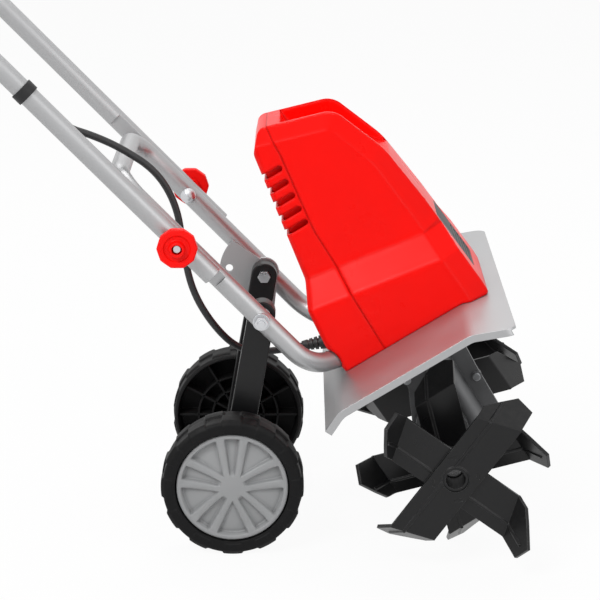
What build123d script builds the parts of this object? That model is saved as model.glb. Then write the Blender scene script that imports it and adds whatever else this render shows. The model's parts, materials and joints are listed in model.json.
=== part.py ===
from build123d import *
import math
import os

# Electric tiller, sizes in millimetres.
# X points forward to the tines, Y to the operator's left, Z up from the ground.
# X stations are counted from a point just behind the deck. ORIGIN_X is the station under which the
# origin lies when the machine is finished: the middle of its whole length.
ORIGIN_X = -253.52

# Handle tubes
TUBE_D = 22.0
TUBE_WALL = 1.5
LOWER_TUBE_Y = 104.0         # middle of a lower tube, from the middle of the machine
UPPER_TUBE_Y = 120.0         # the upper tubes lap the lower ones from outside
LAP_GAP = 0.3                # room between the two flats of a lap
PIVOT_X = -42.0              # wheel arm pivot
PIVOT_Z = 263.0
KNOB_X = -130.6              # clamp knob axis, about which the upper handle folds
KNOB_Z = 354.0
CROSSBAR_RUN = 94.0          # knob axis to the closed end of the lower handle
CROSSBAR_R = 34.0
SADDLE_RUN = 52.0            # upper tube below the knob axis
LAP_RUN = 122.0              # flats end this far above the knob axis
GRIP_RUN = 745.0             # knob axis to the bend below the grip
GRIP_REACH = 120.0           # bend to the grip bar
GRIP_TILT = 32.0             # how much flatter the last stretch lies
GRIP_BEND_R = 90.0
GRIP_CORNER_R = 48.0
LOW_BEND_Z = 209.0           # where the lower tubes turn in behind the deck
LOW_BEND_R = 44.0
LOW_RISE_X = 48.0            # where they start to follow the deck, inside the cover
LOW_RISE_Y = 68.0
LOW_RISE_R = 40.0
LOW_END_RUN = 60.0
TUBE_ROOM = 1.5              # room round them where they enter the cover
TUBE_SEAT = 0.2              # lower tubes above the deck
DECK_BOLT_RUNS = (30.0, 50.0)    # bolts through the deck, from where the tubes reach it
SADDLE_R = 8.0               # shaped washers under their heads
SADDLE_T = 2.0
SADDLE_DEPTH = 3.0

# Deck
DECK_X = 112.0               # the deck's own origin, on its top face
DECK_Z = 235.0
DECK_TILT = 31.8
DECK_T = 2.5
DECK_HALF_WIDTH = 206.0
DECK_REAR_U = -107.0
DECK_REAR_DROP = 11.0
DECK_REAR_BEND_U = -84.0
DECK_FRONT_BEND_U = 78.0
DECK_FRONT_U = 123.0
DECK_FRONT_DROP = 18.0
DECK_BEND_R = 26.0
DECK_LIP = 8.0               # edges turned down at the sides
DECK_CORNER_R = 14.0
SHAFT_HOLE_R = 19.0          # hole for the motor shaft

# Motor cover, in deck coordinates: U along the deck, N square to it
COVER_BACK = [(-77.0, 30.0), (-72.0, 80.0), (-59.0, 106.0), (-33.0, 256.0), (-15.0, 276.0)]
COVER_BACK_RADII = [40.0, 24.0, 24.0, 14.0, 12.0]
COVER_NOSE = [(66.0, 250.0), (91.0, 184.0), (100.0, 110.0)]
COVER_NOSE_RADII = [26.0, 90.0, 60.0]
COVER_REAR_U = -72.0         # cover's rear and front edges on the deck
COVER_FRONT_U = 108.0
NOSE_FOOT_N = 4.0            # foot of the nose, and its lip over the deck's front bend
NOSE_LIP_N = -11.0
COVER_WALL = 3.0
COVER_SEAT = 0.3             # cover edge above the deck
COVER_BASE_HALF = 89.0       # half width at the deck
COVER_FLARE_HALF = 85.0      # half width at the foot of the flare
COVER_WAIST_HALF = 60.0      # half width above the flare
COVER_TOP_HALF = 54.0
COVER_FLARE_N = 65.0
COVER_WAIST_N = 95.0
COVER_BAND_TILT = 9.5        # the flare falls towards the front
COVER_FOOT_N = 10.0          # upright foot below the flare
COVER_UNDER_N = -60.0        # well below the deck
COVER_TOP_N = 300.0          # level at which the top's half width is counted
COVER_CREASE_R = 14.0
COVER_NOSE_BEVEL = 22.0      # upright corners, front and rear
COVER_REAR_BEVEL = 6.0
CORNER_SLACK = 0.6           # the bevels' own sides stay just outside the walls
RIM_INNER_HALF = 39.0        # where the bevelled rims begin
RIM_FOOT = (102.3, 85.0)     # where they end, low on the nose
RIM_FOOT_R = 20.0
RIM_SPAN = 200.0             # well outside the cover
RIM_FLANK = 22.0             # and how far they fall away
COVER_SEAM_GAP = 0.4
SEAM_LINE = [(-21.0, 150.0), (-8.0, 240.0), (-4.0, 330.0)]
COVER_SPAN = 130.0           # well outside the cover's sides
SCOOP_HALF = 36.0            # hand recess in the top
SCOOP_REAR_U = 6.0
SCOOP_FLOOR = [(9.0, 238.0), (50.0, 213.0), (95.0, 172.0)]
VENT_COUNT = 5
VENT_TOP_N = 228.5
VENT_PITCH = 16.4
VENT_LENGTH = 20.0
VENT_HEIGHT = 7.0
VENT_TIP_U = -18.5           # closed end of the top slot
VENT_SLANT = 1.9             # each lower slot ends this much further back
VENT_BEYOND = 10.0           # the slots run out through the rear wall
HIGH_SCREW = (133.0, 44.0, -50.0)    # N, Y and U of an upper screw's seat
LOW_SCREW_Y = 66.0
LOW_SCREW_U = -70.0
LOW_SCREW_ROOM = 0.4         # lower screw bosses above the deck bolts
SCREW_END_U = -6.0           # end of the screw bosses in the front shell
SCREW_BOSS_RUN = 30.0        # start of the bosses, behind the seat
SCREW_BOSS_WALL = 2.5
RIB_REACH = 40.0             # ribs from the bosses out to the side walls
SCREW_SEAT = 12.0            # underside of the heads, ahead of the seat's own mark
SCREW_RECESS_R = 5.6
SCREW_HEAD_R = 4.4
SCREW_HEAD_T = 3.5
SCREW_R = 2.2
GRILLE_HALF = 36.0
GRILLE_LOW_N = 15.0
GRILLE_HIGH_N = 88.0
GRILLE_DEPTH = 2.6
GRILLE_CORNER_R = 5.0
GRILLE_MARGIN = 7.0          # plain edge beside the louvres
LOUVRE_COUNT = 6
LOUVRE_PITCH = 6.4
LOUVRE_TILT = 30.0

# Motor, its axis square to the deck
MOTOR_U = 10.0
MOTOR_FRAME_R = 47.0
MOTOR_FRAME_WALL = 3.0
MOTOR_TOP_N = 106.0
FLANGE_R = 58.0
FLANGE_T = 6.0
STATOR_BORE_R = 25.6
ARMATURE_R = 25.0
STACK_LOW_N = 38.0
STACK_HIGH_N = 80.0
SHAFT_R = 5.0
SHAFT_TOP_N = 134.0
BEARING_R = 11.0
BEARING_T = 8.0
FOOT_BEARING_R = 9.0
FOOT_BEARING_T = 5.5
RACE = 2.1                   # bearing rings, and their shields below the face
SHIELD_SINK = 0.6
SHAFT_CLEAR = 2.0            # room round the motor shaft in its frame
FLANGE_SCREW_R = 52.5
FLANGE_SCREW_RUN = 16.0      # screws below the deck's top
AIR_WINDOWS = 6
END_CAP_H = 14.0
END_CONE_R = 30.0
END_CONE_TOP_R = 18.0
END_CONE_H = 26.0
END_WINDOW_AT = 38.0
YOKE_R = 35.0                # inside of the stator's ring
POLE_WIDTH = 30.0
SHOE_R = 30.0
SHOE_WIDTH = 42.0
COIL_AT = 32.3
COIL_WIDTH = 46.0
COIL_T = 4.2
COIL_END = 7.0
COIL_ROOM = 0.3
ARMATURE_SLOTS = 12
SLOT_DEPTH = 3.0
SLOT_WIDTH = 2.4
WINDING_R = 20.0
WINDING_H = 8.0
COMMUTATOR_R = 13.0
COMMUTATOR_H = 16.0
BRUSH_OUT = 1.5              # brush beyond its box, and its gap to the commutator
BRUSH_GAP = 0.2
HOLDER_LENGTH = 29.0
FAN_LOW_N = 19.0
FAN_R = 40.0
FAN_H = 11.0
FAN_DISC_T = 2.0
FAN_BLADES = 8
FAN_BLADE = 26.0
FAN_BLADE_AT = 24.0
FAN_RAKE = 25.0
FIT = 0.1                    # room between a fixed piece and its seat
SNUG = 0.05                  # room round a tube in its clamp
RUNNING = 0.4                # room round a piece that turns
THROUGH = 600.0              # length of a cut that goes right through

# Worm pair
MODULE = 1.5
WHEEL_TEETH = 30
WORM_R = 7.5                 # pitch radius
WORM_TURNS = 8
WORM_TURN = 180.0            # where the thread starts, so that it meets the gaps of the wheel
ADDENDUM = 0.9               # tooth above and below the pitch line, in modules
DEDENDUM = 1.25
TOOTH_T = 1.55               # tooth and thread thickness at the pitch line
TOOTH_TIP_HALF = 0.42
TOOTH_ROOT_HALF = 1.25
TOOTH_SINK = 1.5             # teeth let into the wheel, and the thread into the worm
THREAD_ROOT_HALF = 1.2
THREAD_SINK = 0.4
TOOTH_HALF_LENGTH = 5.0
WORM_WHEEL_T = 16.0
SHAFT_FOOT = 34.0            # motor shaft below the tine shaft
SHAFT_DROP = 138.0           # tine shaft below the deck
CASE_WALL = 5.0
CASE_FLANGE_T = 9.0
CASE_NECK_R = 18.0
CASE_FOOT = 40.0             # gearcase below the tine shaft
CASE_CONE = 30.0
CASE_CONE_R = 34.0
CASE_DRUM_R = 34.0           # round the worm wheel
CASE_DRUM_HALF = 17.0
CASE_WEB_HALF = 4.5          # flat web along the joint
CASE_BOSS_R = 6.5
CASE_BOSS_HALF = 5.0
WORM_WELL = 30.0
WORM_WELL_R = 10.7
GEAR_WELL_R = 27.0
GEAR_WELL_HALF = 9.5
GEARCASE_JOINTS = [          # U and N of the screws that join the gearcase halves
    (44.0, -40.0),
    (40.0, -108.0),
    (33.0, -168.0),
    (-58.0, -151.0),
    (-30.0, -70.0),
    (-28.0, -22.0),
]

# Tine shaft, hubs and stars
TINE_SHAFT_R = 10.0
TINE_SHAFT_HALF = 150.0
SHAFT_BEARING_R = 21.0
SHAFT_BEARING_Y = 19.0       # inner face of each bearing
SHAFT_BEARING_T = 12.0
SEAL_T = 6.0
SEAL_R = 18.0
HUB_R = 14.0
HUB_INNER_Y = 60.0
HUB_PIN_Y = 74.0
HUB_PIN_R = 3.0
HUB_PIN_HEAD_R = 5.0
HUB_PIN_END = 5.0            # pin beyond the hub
SOCKET_R = 10.8              # open end of the hub
TINE_T = 4.0
TINE_WIDTH = 48.0
TINE_FOLD = 60.0             # how far the blade tips turn aside
FOLD_LEAD = 84.6             # fold from the axis, at the leading edge
FOLD_TRAIL = 68.6            # and at the trailing edge
TIP_LEAD = 31.0              # tip beyond the fold: leading edge, point, cut corner, trailing edge
TIP_POINT = 46.0
TIP_POINT_W = -3.0
TIP_CUT = 30.0
TIP_CUT_W = 14.0
TIP_TRAIL = 19.0
BEAD_R = 2.0                 # pressed bead along each plate
BEAD_W = 9.0
BEAD_SINK = 0.5
BEAD_TIP = 32.0
DIMPLE_R = 24.5              # four dimples round the hub
DIMPLE_LENGTH = 9.0
DIMPLE_WIDTH = 3.6
DIMPLE_DEPTH = 0.8
WELD = 1.4
OUTER_TINE_Y = 181.0         # between the two plates of a star
INNER_TINE_Y = 120.0
RIGHT_OUTER_ANGLE = 54.0
RIGHT_INNER_ANGLE = 105.0
LEFT_OUTER_ANGLE = 26.0
LEFT_INNER_ANGLE = 106.0

# Wheels and wheel arm
WHEEL_R = 79.0
WHEEL_X = -74.7
WHEEL_INNER_Y = 98.0
WHEEL_OUTER_Y = 140.0
TREAD_DEPTH = 3.5
TREAD_LUGS = 12
RIM_R = 65.0                 # inside of the tyre ring
CAP_R = 61.5                 # grey hub cap
CAP_RIM = 3.7                # raised ring round the cap
CAP_RIM_H = 8.4
SPOKE_H = 7.2
SPOKE_PAIRS = 5
SPOKE_SPREAD = 12.8          # each spoke from the middle of its pair, in degrees
SPOKE_HUB_R = 18.0           # spokes widen from the hub to the rim
SPOKE_HUB_HALF = 2.7
SPOKE_RIM_HALF = 4.4
POCKET_R = 56.4              # recesses between the spokes
POCKET_RIM_H = 2.2           # their floor rises towards the hub
POCKET_HUB_H = 5.6
POCKET_CORNER_R = 0.9
POCKET_DRAFT = 8.0           # their sides open outwards, in degrees
WEB_Y = 125.0                # disc between hub and tyre
WEB_T = 4.0
WHEEL_HUB_R = 15.0
WHEEL_BANDS = (32.0, 49.0)   # round ribs on the open side
WHEEL_RIB_T = 2.4
WHEEL_RIB_IN = 7.0           # ribs below the open edge
AXLE_R = 6.0
LEG_WIDTH = 30.0
LEG_DEPTH = 20.0
LEG_ROOM = 0.5               # left leg beside the lock plate
LEG_WALL = 2.0
BOLT_R = 4.0
BOLT_ROOM = 0.2
BOLT_ACROSS = 13.0           # hexagon heads and nuts
BOLT_HEAD_T = 5.3
NUT_T = 6.4
WASHER_R = 9.5
WASHER_T = 1.6
WASHER_DISH = 3.6            # washers shaped to the tube
LOCK_R = 41.6                # lock pin from the pivot
LOCK_SWING = 86.0            # angle between the two lock holes
LOCK_PLATE_R = 53.0
LOCK_PLATE_T = 3.0
LOCK_EYE_R = 17.0            # lock plate round the pivot
LOCK_BEFORE = 40.0           # plate beyond each lock hole, in degrees
LOCK_AFTER = 22.0
LOCK_PIN_R = 4.0
LOCK_TRAVEL = 8.0
SLEEVE_R = 7.0               # sleeve of the lock pin in the left leg
SLEEVE_REACH = 9.0           # sleeve beyond the leg, inwards
COLLAR_R = 5.4
EYE_BORE_R = 2.3
SPRING_R = 4.95
SPRING_WIRE_R = 0.5
SPRING_TURNS = 4
RING_R = 11.0
RING_WIRE_R = 1.2

# Clamp knobs
KNOB_R = 22.0
KNOB_DEPTH = 23.0
KNOB_LOBES = 10
KNOB_SCALLOP_R = 6.6         # hollows between the lobes
KNOB_SCALLOP_OUT = 4.6
KNOB_EDGE = 1.6
KNOB_NECK_R = 11.0           # neck towards the tube
KNOB_NECK = 7.0
KNOB_FACE = 5.0              # face behind the middle boss
KNOB_RING_R = 13.0
KNOB_RING_BORE = 9.5
KNOB_RING_H = 2.0
KNOB_BOSS_R = 7.5
DOME_R = 11.5                # bolt heads inside the lower tubes
DOME_SINK = 6.0
DOME_EDGE_R = 9.0

# Switch gear on the upper handle, placed up the tube (S) from the knob axis and below it (T)
BOX_LOW_S = 606.0
BOX_HIGH_S = 712.0
BOX_TOP_T = -40.0
BOX_FOOT_T = 15.0
BOX_INNER_Y = 100.0
BOX_OUTER_Y = 145.0
BOX_WALL = 3.0
BOX_EDGE_R = 3.0
BOX_SEAM = 0.2
BAY_FLOOR = 2.0              # box between tube and switch
SWITCH_S = 664.0
SWITCH_LENGTH = 34.0
SWITCH_WIDTH = 26.0
SWITCH_H = 9.0
BUTTON_S = 638.0
BUTTON_R = 7.5
BUTTON_STAND = 8.0           # button above the box
BUTTON_ROOM = 0.3
BUTTON_EDGE_R = 2.0
BUTTON_FLANGE = 2.0
INLET_S = 655.0
INLET_R = 18.0
INLET_DEPTH = 24.0
INLET_FLOOR = 5.0
PRONG_R = 2.4
PRONG_AT = 6.5
PRONG_LENGTH = 17.0
BAIL_R = 3.5
BAIL_S = 694.0               # axis on which the bail swings
BAIL_T = -26.0
BAIL_Y = 91.0
BAIL_PIN_Y = 112.0
BAIL_REACH = 158.0
BAIL_LIFT = 11.0
BAIL_ELBOW_R = 8.0
BAIL_CORNER_R = 22.0
BAIL_ROOM = 0.3              # room round the bail's ends
BAIL_END = 0.5
BRACKET_R = 9.0              # bracket round the bail's end
BRACKET_HALF = 12.0
BRACKET_IN = 7.0
GRIP_FOAM = 4.0              # foam on the grip bar
GRIP_HALF = 70.0

# Motor lead
LEAD_D = 8.0
GLAND_X = 36.0
GLAND_Y = -30.0
GLAND_Z = 216.1
GLAND_DIP = 12.0             # the gland points this much below level
GLAND_LENGTH = 34.0
GLAND_R = 7.0
GLAND_HEAD_R = 9.0
GLAND_SEAT = 3.0             # head of the gland from its own origin
GLAND_ROOM = 0.2
GLAND_TIP_R = 5.4
GLAND_CORE_R = 5.3           # between the notches
GLAND_NOTCHES = 3
GLAND_NOTCH = 2.0
GLAND_NOTCH_PITCH = 5.5
GLAND_NOTCH_START = 14.0
LEAD_CLIP_RUN = 212.0        # where the lead meets the upper tube, from the knob axis
LEAD_TAIL = 40.0             # straight ends of the free stretch
CLIP_RUNS = (228.0, 405.0, 590.0)
LEAD_POINTS = [              # loop of the lead behind the machine, from the gland up
    (-70.0, -39.0, 208.0),
    (-98.0, -50.0, 240.0),
    (-121.0, -55.0, 283.0),
    (-129.0, -59.0, 333.0),
    (-135.0, -63.0, 381.0),
    (-156.0, -69.0, 421.0),
    (-192.0, -79.0, 448.0),
    (-222.0, -91.0, 465.0),
]

TUBE_R = TUBE_D / 2
WHEEL_Z = WHEEL_R
LAP_Y = (LOWER_TUBE_Y + UPPER_TUBE_Y) / 2
KNOB_INNER_Y = UPPER_TUBE_Y + TUBE_R + RUNNING
KNOB_BOLT_END = KNOB_INNER_Y + KNOB_DEPTH - 5
LOCK_PLATE_Y = LOWER_TUBE_Y - TUBE_R - LOCK_PLATE_T
LEG_OUTER_Y = LOCK_PLATE_Y - LEG_ROOM
LEG_INNER_Y = LEG_OUTER_Y - LEG_DEPTH
DECK_BOLT_TOP_N = TUBE_SEAT + TUBE_D + SADDLE_T + BOLT_HEAD_T
LOW_SCREW_N = DECK_BOLT_TOP_N + SCREW_BOSS_WALL + SCREW_RECESS_R + LOW_SCREW_ROOM
COVER_SCREWS = [HIGH_SCREW, (LOW_SCREW_N, LOW_SCREW_Y, LOW_SCREW_U)]
SLEEVE_INNER_Y = LEG_INNER_Y - SLEEVE_REACH
EYE_Y = SLEEVE_INNER_Y - LOCK_TRAVEL - 2.5
AXLE_END = WEB_Y + WEB_T + 4
HUB_END_Y = OUTER_TINE_Y + TINE_T
LEAD_ANGLE = math.degrees(math.atan2(MODULE, 2 * WORM_R))
PITCH = math.pi * MODULE
GEARCASE_TOP_N = -DECK_T - FIT
MOTOR_BORE_R = MOTOR_FRAME_R - MOTOR_FRAME_WALL
TOP_BEARING_N = SHAFT_TOP_N - 5
FOOT_BEARING_N = -SHAFT_DROP - SHAFT_FOOT + 1
RISING = (Align.CENTER, Align.CENTER, Align.MIN)

# Frames: the deck's own frame, and the handle's, whose X runs up the tubes from the knob axis
TILT = math.radians(DECK_TILT)
DECK = Plane(
    origin=(DECK_X, 0, DECK_Z),
    x_dir=(math.cos(TILT), 0, math.sin(TILT)),
    z_dir=(-math.sin(TILT), 0, math.cos(TILT)),
)
SLOPE = Vector(KNOB_X - PIVOT_X, 0, KNOB_Z - PIVOT_Z).normalized()
HANDLE = Plane(origin=(KNOB_X, 0, KNOB_Z), x_dir=SLOPE, z_dir=SLOPE.cross(Vector(0, 1, 0)))
LEG_RUN = Vector(WHEEL_X - PIVOT_X, 0, WHEEL_Z - PIVOT_Z)
LEG_ANGLE = math.degrees(math.atan2(LEG_RUN.Z, LEG_RUN.X))
CENTRE_DISTANCE = WORM_R + MODULE * WHEEL_TEETH / 2
TINE_U = MOTOR_U - CENTRE_DISTANCE
TINE_AXIS = DECK.from_local_coords(Vector(TINE_U, 0, -SHAFT_DROP))


def round_bar(radius, low_y, high_y, x=0.0, z=0.0):
    """A round bar along Y between two stations."""
    bar = Cylinder(radius, high_y - low_y, align=RISING)
    return Pos(x, low_y, z) * Rot(-90, 0, 0) * bar


def slab(outline_face, low_y, high_y):
    """A side view, drawn in X and Z, made solid between two stations along Y."""
    side = Plane(origin=(0, high_y, 0), x_dir=(1, 0, 0), z_dir=(0, -1, 0))
    return extrude(side * outline_face, high_y - low_y)


def outline(points, radii):
    """A closed outline with its corners rounded, one radius for each point."""
    turned = sum(a[0] * b[1] - b[0] * a[1] for a, b in zip(points, points[1:] + points[:1]))
    drawn = points if turned > 0 else list(reversed(points))
    face = Polygon(*drawn, align=None)
    for point, radius in zip(points, radii):
        if radius:
            corner = face.vertices().sort_by_distance(Vector(*point, 0))[0]
            face = fillet(corner, radius)
    return face


def both_sides(part):
    """A piece and its mirror image on the other side of the machine."""
    return [part, mirror(part, about=Plane.XZ)]


def swept(path, radius):
    """A round bar that follows a path."""
    start = Plane(origin=path @ 0, z_dir=path % 0)
    return sweep(start * Circle(radius), path=path)


def solid_of(*shapes):
    """Separate solids kept together in one node."""
    solids = []
    for shape in shapes:
        solids.extend(shape.solids())
    return Compound(children=solids)


def ring(outer, inner, low_y, high_y, x=0.0, z=0.0):
    """A round collar along Y."""
    return round_bar(outer, low_y, high_y, x, z) - round_bar(inner, low_y - 1, high_y + 1, x, z)


def hexagon_bar(across, low_y, high_y, x, z):
    """A hexagonal head or nut along Y."""
    face = Pos(x, z) * RegularPolygon(across / 2, 6, major_radius=False)
    return slab(face, low_y, high_y)


def deck_sheet():
    """Pressed sheet that carries the motor and shields the tines."""
    line = FilletPolyline(
        (DECK_REAR_U, -DECK_REAR_DROP),
        (DECK_REAR_BEND_U, 0),
        (DECK_FRONT_BEND_U, 0),
        (DECK_FRONT_U, -DECK_FRONT_DROP),
        radius=DECK_BEND_R,
    )
    sheet_face = make_face(offset(line, DECK_T, side=Side.RIGHT))
    lip_face = make_face(offset(line, DECK_LIP, side=Side.RIGHT))
    sheet = slab(sheet_face, -DECK_HALF_WIDTH, DECK_HALF_WIDTH)
    for side in (-1, 1):
        edges = sorted((side * DECK_HALF_WIDTH, side * (DECK_HALF_WIDTH - DECK_T)))
        sheet += slab(lip_face, *edges)
    length = DECK_FRONT_U - DECK_REAR_U + 2 * DECK_LIP
    plan = Rectangle(length, 2 * DECK_HALF_WIDTH)
    plan = fillet(plan.vertices(), DECK_CORNER_R)
    middle = (DECK_FRONT_U + DECK_REAR_U) / 2 - DECK_LIP
    sheet &= Pos(middle, 0, -THROUGH / 2) * extrude(plan, THROUGH)
    sheet -= Pos(MOTOR_U, 0, 0) * Cylinder(SHAFT_HOLE_R, THROUGH)
    return sheet


def cover_side(inset):
    """Side view of the motor cover in deck coordinates."""
    points = [
        (COVER_REAR_U, COVER_SEAT),
        *COVER_BACK,
        *COVER_NOSE,
        (COVER_FRONT_U, NOSE_FOOT_N),
        (COVER_FRONT_U, NOSE_LIP_N),
        (DECK_FRONT_BEND_U, COVER_SEAT),
    ]
    radii = [0, *COVER_BACK_RADII, *COVER_NOSE_RADII, 0, COVER_WALL, 0]
    face = outline(points, radii)
    return offset(face, -inset) if inset else face


def cover_front(inset):
    """Front view of the motor cover: half widths at the deck, flare, waist and top."""
    points = [
        (COVER_BASE_HALF - inset, COVER_UNDER_N),
        (COVER_BASE_HALF - inset, COVER_FOOT_N),
        (COVER_FLARE_HALF - inset, COVER_FLARE_N),
        (COVER_WAIST_HALF - inset, COVER_WAIST_N - inset / 2),
        (COVER_TOP_HALF - inset, COVER_TOP_N),
    ]
    mirrored = [(-half, height) for half, height in reversed(points)]
    radii = [0, 0, COVER_CREASE_R, COVER_CREASE_R, 0]
    return outline(points + mirrored, radii + list(reversed(radii)))


def cover_solid(inset):
    """The motor cover as one block, drawn in by a wall thickness for its hollow."""
    body = slab(cover_side(inset), -COVER_SPAN, COVER_SPAN)
    band = math.radians(COVER_BAND_TILT)
    looking = Plane(
        origin=(MOTOR_U, 0, 0),
        x_dir=(0, 1, 0),
        z_dir=(math.cos(band), 0, -math.sin(band)),
    )
    body &= extrude(looking * cover_front(inset), RIM_SPAN, both=True)
    return body & cover_corners(inset) & rim_solid(inset)


def cover_corners(inset):
    """Space inside the cover's bevelled upright corners, as levels that fall with the flare."""
    band = math.radians(COVER_BAND_TILT)
    levels = [               # height, then rear, front and half width at that level
        (-40.0, -77.0, 110.0, COVER_BASE_HALF),
        (25.0, -92.2, 95.3, COVER_BASE_HALF - 1.0),
        (COVER_FLARE_N, -94.7, 85.5, COVER_FLARE_HALF),
        (COVER_WAIST_N, -86.4, 78.1, COVER_WAIST_HALF),
        (COVER_TOP_N, -85.0, 180.0, COVER_TOP_HALF),
    ]
    thinner = inset * (2 - math.sqrt(2))
    nose = COVER_NOSE_BEVEL - thinner
    tail = COVER_REAR_BEVEL - thinner
    sections = []
    for height, rear, front, half in levels:
        low = rear + inset
        high = front - inset
        side = half - inset + CORNER_SLACK
        right = [(low, tail - side), (low + tail, -side), (high - nose, -side), (high, nose - side)]
        left = [(x, -y) for x, y in reversed(right)]
        place = Plane(
            origin=(MOTOR_U + height * math.sin(band), 0, height * math.cos(band)),
            x_dir=(math.cos(band), 0, -math.sin(band)),
            z_dir=(math.sin(band), 0, math.cos(band)),
        )
        sections.append(place * Polygon(*right, *left, align=None))
    return loft(sections, ruled=True)


def rim_solid(inset):
    """Space inside the bevelled rims along the cover's top and front."""
    low, high, top = -RIM_SPAN, RIM_SPAN, 335
    points = [
        (low, low),
        (low, top),
        *COVER_NOSE,
        RIM_FOOT,
        (high, RIM_FOOT[1] / 2),
        (high, low),
    ]
    face = outline(points, [0, 0, *COVER_NOSE_RADII, RIM_FOOT_R, 0, 0])
    if inset:
        face = offset(face, -inset)
    middle = slab(face, -RIM_INNER_HALF + inset, RIM_INNER_HALF - inset)
    side = Plane(origin=(0, -RIM_INNER_HALF + inset, 0), x_dir=(1, 0, 0), z_dir=(0, -1, 0))
    flank = extrude(side * face, RIM_FLANK, taper=45)
    fall = math.tan(math.radians(COVER_BAND_TILT))
    waist = [(u, COVER_WAIST_N - fall * (u - MOTOR_U)) for u in (high, low)]
    below = Polygon((low, low), (high, low), *waist, align=None)
    base = slab(below, -COVER_SPAN, COVER_SPAN)
    return middle + flank + mirror(flank, about=Plane.XZ) + base


def scoop(grow):
    """Hand recess between the two rims of the cover's top, running out down the front."""
    (rear_u, rear_n), (mid_u, mid_n), (out_u, out_n) = SCOOP_FLOOR
    points = [
        (SCOOP_REAR_U - grow, COVER_TOP_N),
        (rear_u - grow, rear_n - grow),
        (mid_u, mid_n - grow),
        (out_u, out_n - grow),
        (RIM_SPAN, out_n - grow),
        (RIM_SPAN, COVER_TOP_N),
    ]
    return slab(outline(points, [0, 10, 60, 0, 0, 0]), -SCOOP_HALF - grow, SCOOP_HALF + grow)


def rear_region(shift):
    """Everything behind the seam between the two cover shells."""
    points = [
        (-RIM_SPAN, COVER_UNDER_N),
        (SEAM_LINE[0][0] + shift, COVER_UNDER_N),
        *[(u + shift, n) for u, n in SEAM_LINE],
        (-RIM_SPAN, SEAM_LINE[-1][1]),
    ]
    return slab(outline(points, [0, 0, 80, 40, 0, 0]), -COVER_SPAN, COVER_SPAN)


def along_u(radius, low_u, high_u, y, n):
    """A round bar along the deck's own X."""
    bar = Cylinder(radius, high_u - low_u, align=RISING)
    return Pos(low_u, y, n) * Rot(0, 90, 0) * bar


def grille_frame():
    """Where the front grille sits: square to the cover's front face."""
    top_u, top_n = COVER_NOSE[-1]
    slant = math.atan2(COVER_FRONT_U - top_u, top_n - NOSE_FOOT_N)
    middle_n = (GRILLE_LOW_N + GRILLE_HIGH_N) / 2
    front_u = COVER_FRONT_U - (middle_n - NOSE_FOOT_N) * math.tan(slant)
    return Plane(
        origin=(front_u, 0, middle_n),
        x_dir=(0, 1, 0),
        z_dir=(math.cos(slant), 0, math.sin(slant)),
    )


def covers():
    """The two moulded shells round the motor."""
    outside = cover_solid(0)
    hollow = cover_solid(COVER_WALL)
    foot = hollow & Box(THROUGH, THROUGH, -2 * COVER_UNDER_N)
    hollow += Pos(0, 0, COVER_UNDER_N / 2) * foot
    hollow -= scoop(COVER_WALL)
    frame = grille_frame()
    height = GRILLE_HIGH_N - GRILLE_LOW_N
    mouth = RectangleRounded(2 * GRILLE_HALF, height, GRILLE_CORNER_R)
    pocket = frame * Pos(0, 0, -GRILLE_DEPTH) * extrude(mouth, THROUGH)
    backing = frame * Pos(0, 0, -2 * COVER_WALL) * Box(
        2 * (GRILLE_HALF + COVER_WALL), height + 2 * COVER_WALL, 4 * COVER_WALL
    )
    hollow -= backing
    shell = outside - hollow - scoop(0) - pocket
    for n, y, seat in COVER_SCREWS:
        for side in (-1, 1):
            start = seat - SCREW_BOSS_RUN
            boss = along_u(SCREW_RECESS_R + SCREW_BOSS_WALL, start, SCREW_END_U, side * y, n)
            rib = Box(SCREW_END_U - start, RIB_REACH, COVER_WALL)
            boss += Pos((start + SCREW_END_U) / 2, side * (y + RIB_REACH / 2), n) * rib
            shell += boss & outside
    rear = shell & rear_region(-COVER_SEAM_GAP / 2)
    front = shell - rear_region(COVER_SEAM_GAP / 2)
    for n, y, seat in COVER_SCREWS:
        for side in (-1, 1):
            rear -= along_u(SCREW_RECESS_R, -COVER_SPAN, seat + SCREW_SEAT, side * y, n)
            hole = along_u(SCREW_R + FIT, -COVER_SPAN, SCREW_END_U - 2, side * y, n)
            rear -= hole
            front -= hole
    for index in range(VENT_COUNT):
        n = VENT_TOP_N - index * VENT_PITCH
        tip = VENT_TIP_U - index * VENT_SLANT
        slot = Pos(tip - VENT_LENGTH / 2, n) * SlotOverall(VENT_LENGTH + VENT_BEYOND, VENT_HEIGHT)
        rear -= slab(slot, -COVER_SPAN, COVER_SPAN)
    notch = swept(lower_path(), TUBE_R + TUBE_ROOM)
    rear -= DECK.location.inverse() * notch
    front -= DECK.location.inverse() * notch
    gland_hole = Cylinder(GLAND_R + GLAND_ROOM, 2 * GLAND_LENGTH)
    head_hole = Cylinder(GLAND_HEAD_R + GLAND_ROOM, 2 * GLAND_LENGTH, align=RISING)
    gland_hole += Pos(0, 0, GLAND_SEAT - FIT) * head_hole
    rear -= DECK.location.inverse() * gland_frame() * gland_hole
    return rear, front


def cover_screws():
    """Screws that draw the rear shell to the front one."""
    screws = []
    for n, y, seat in COVER_SCREWS:
        for side in (-1, 1):
            top = seat + SCREW_SEAT
            head = along_u(SCREW_HEAD_R, top - SCREW_HEAD_T, top, side * y, n)
            screws.append(head + along_u(SCREW_R, top - 1, SCREW_END_U - 3, side * y, n))
    return solid_of(*screws)


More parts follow.
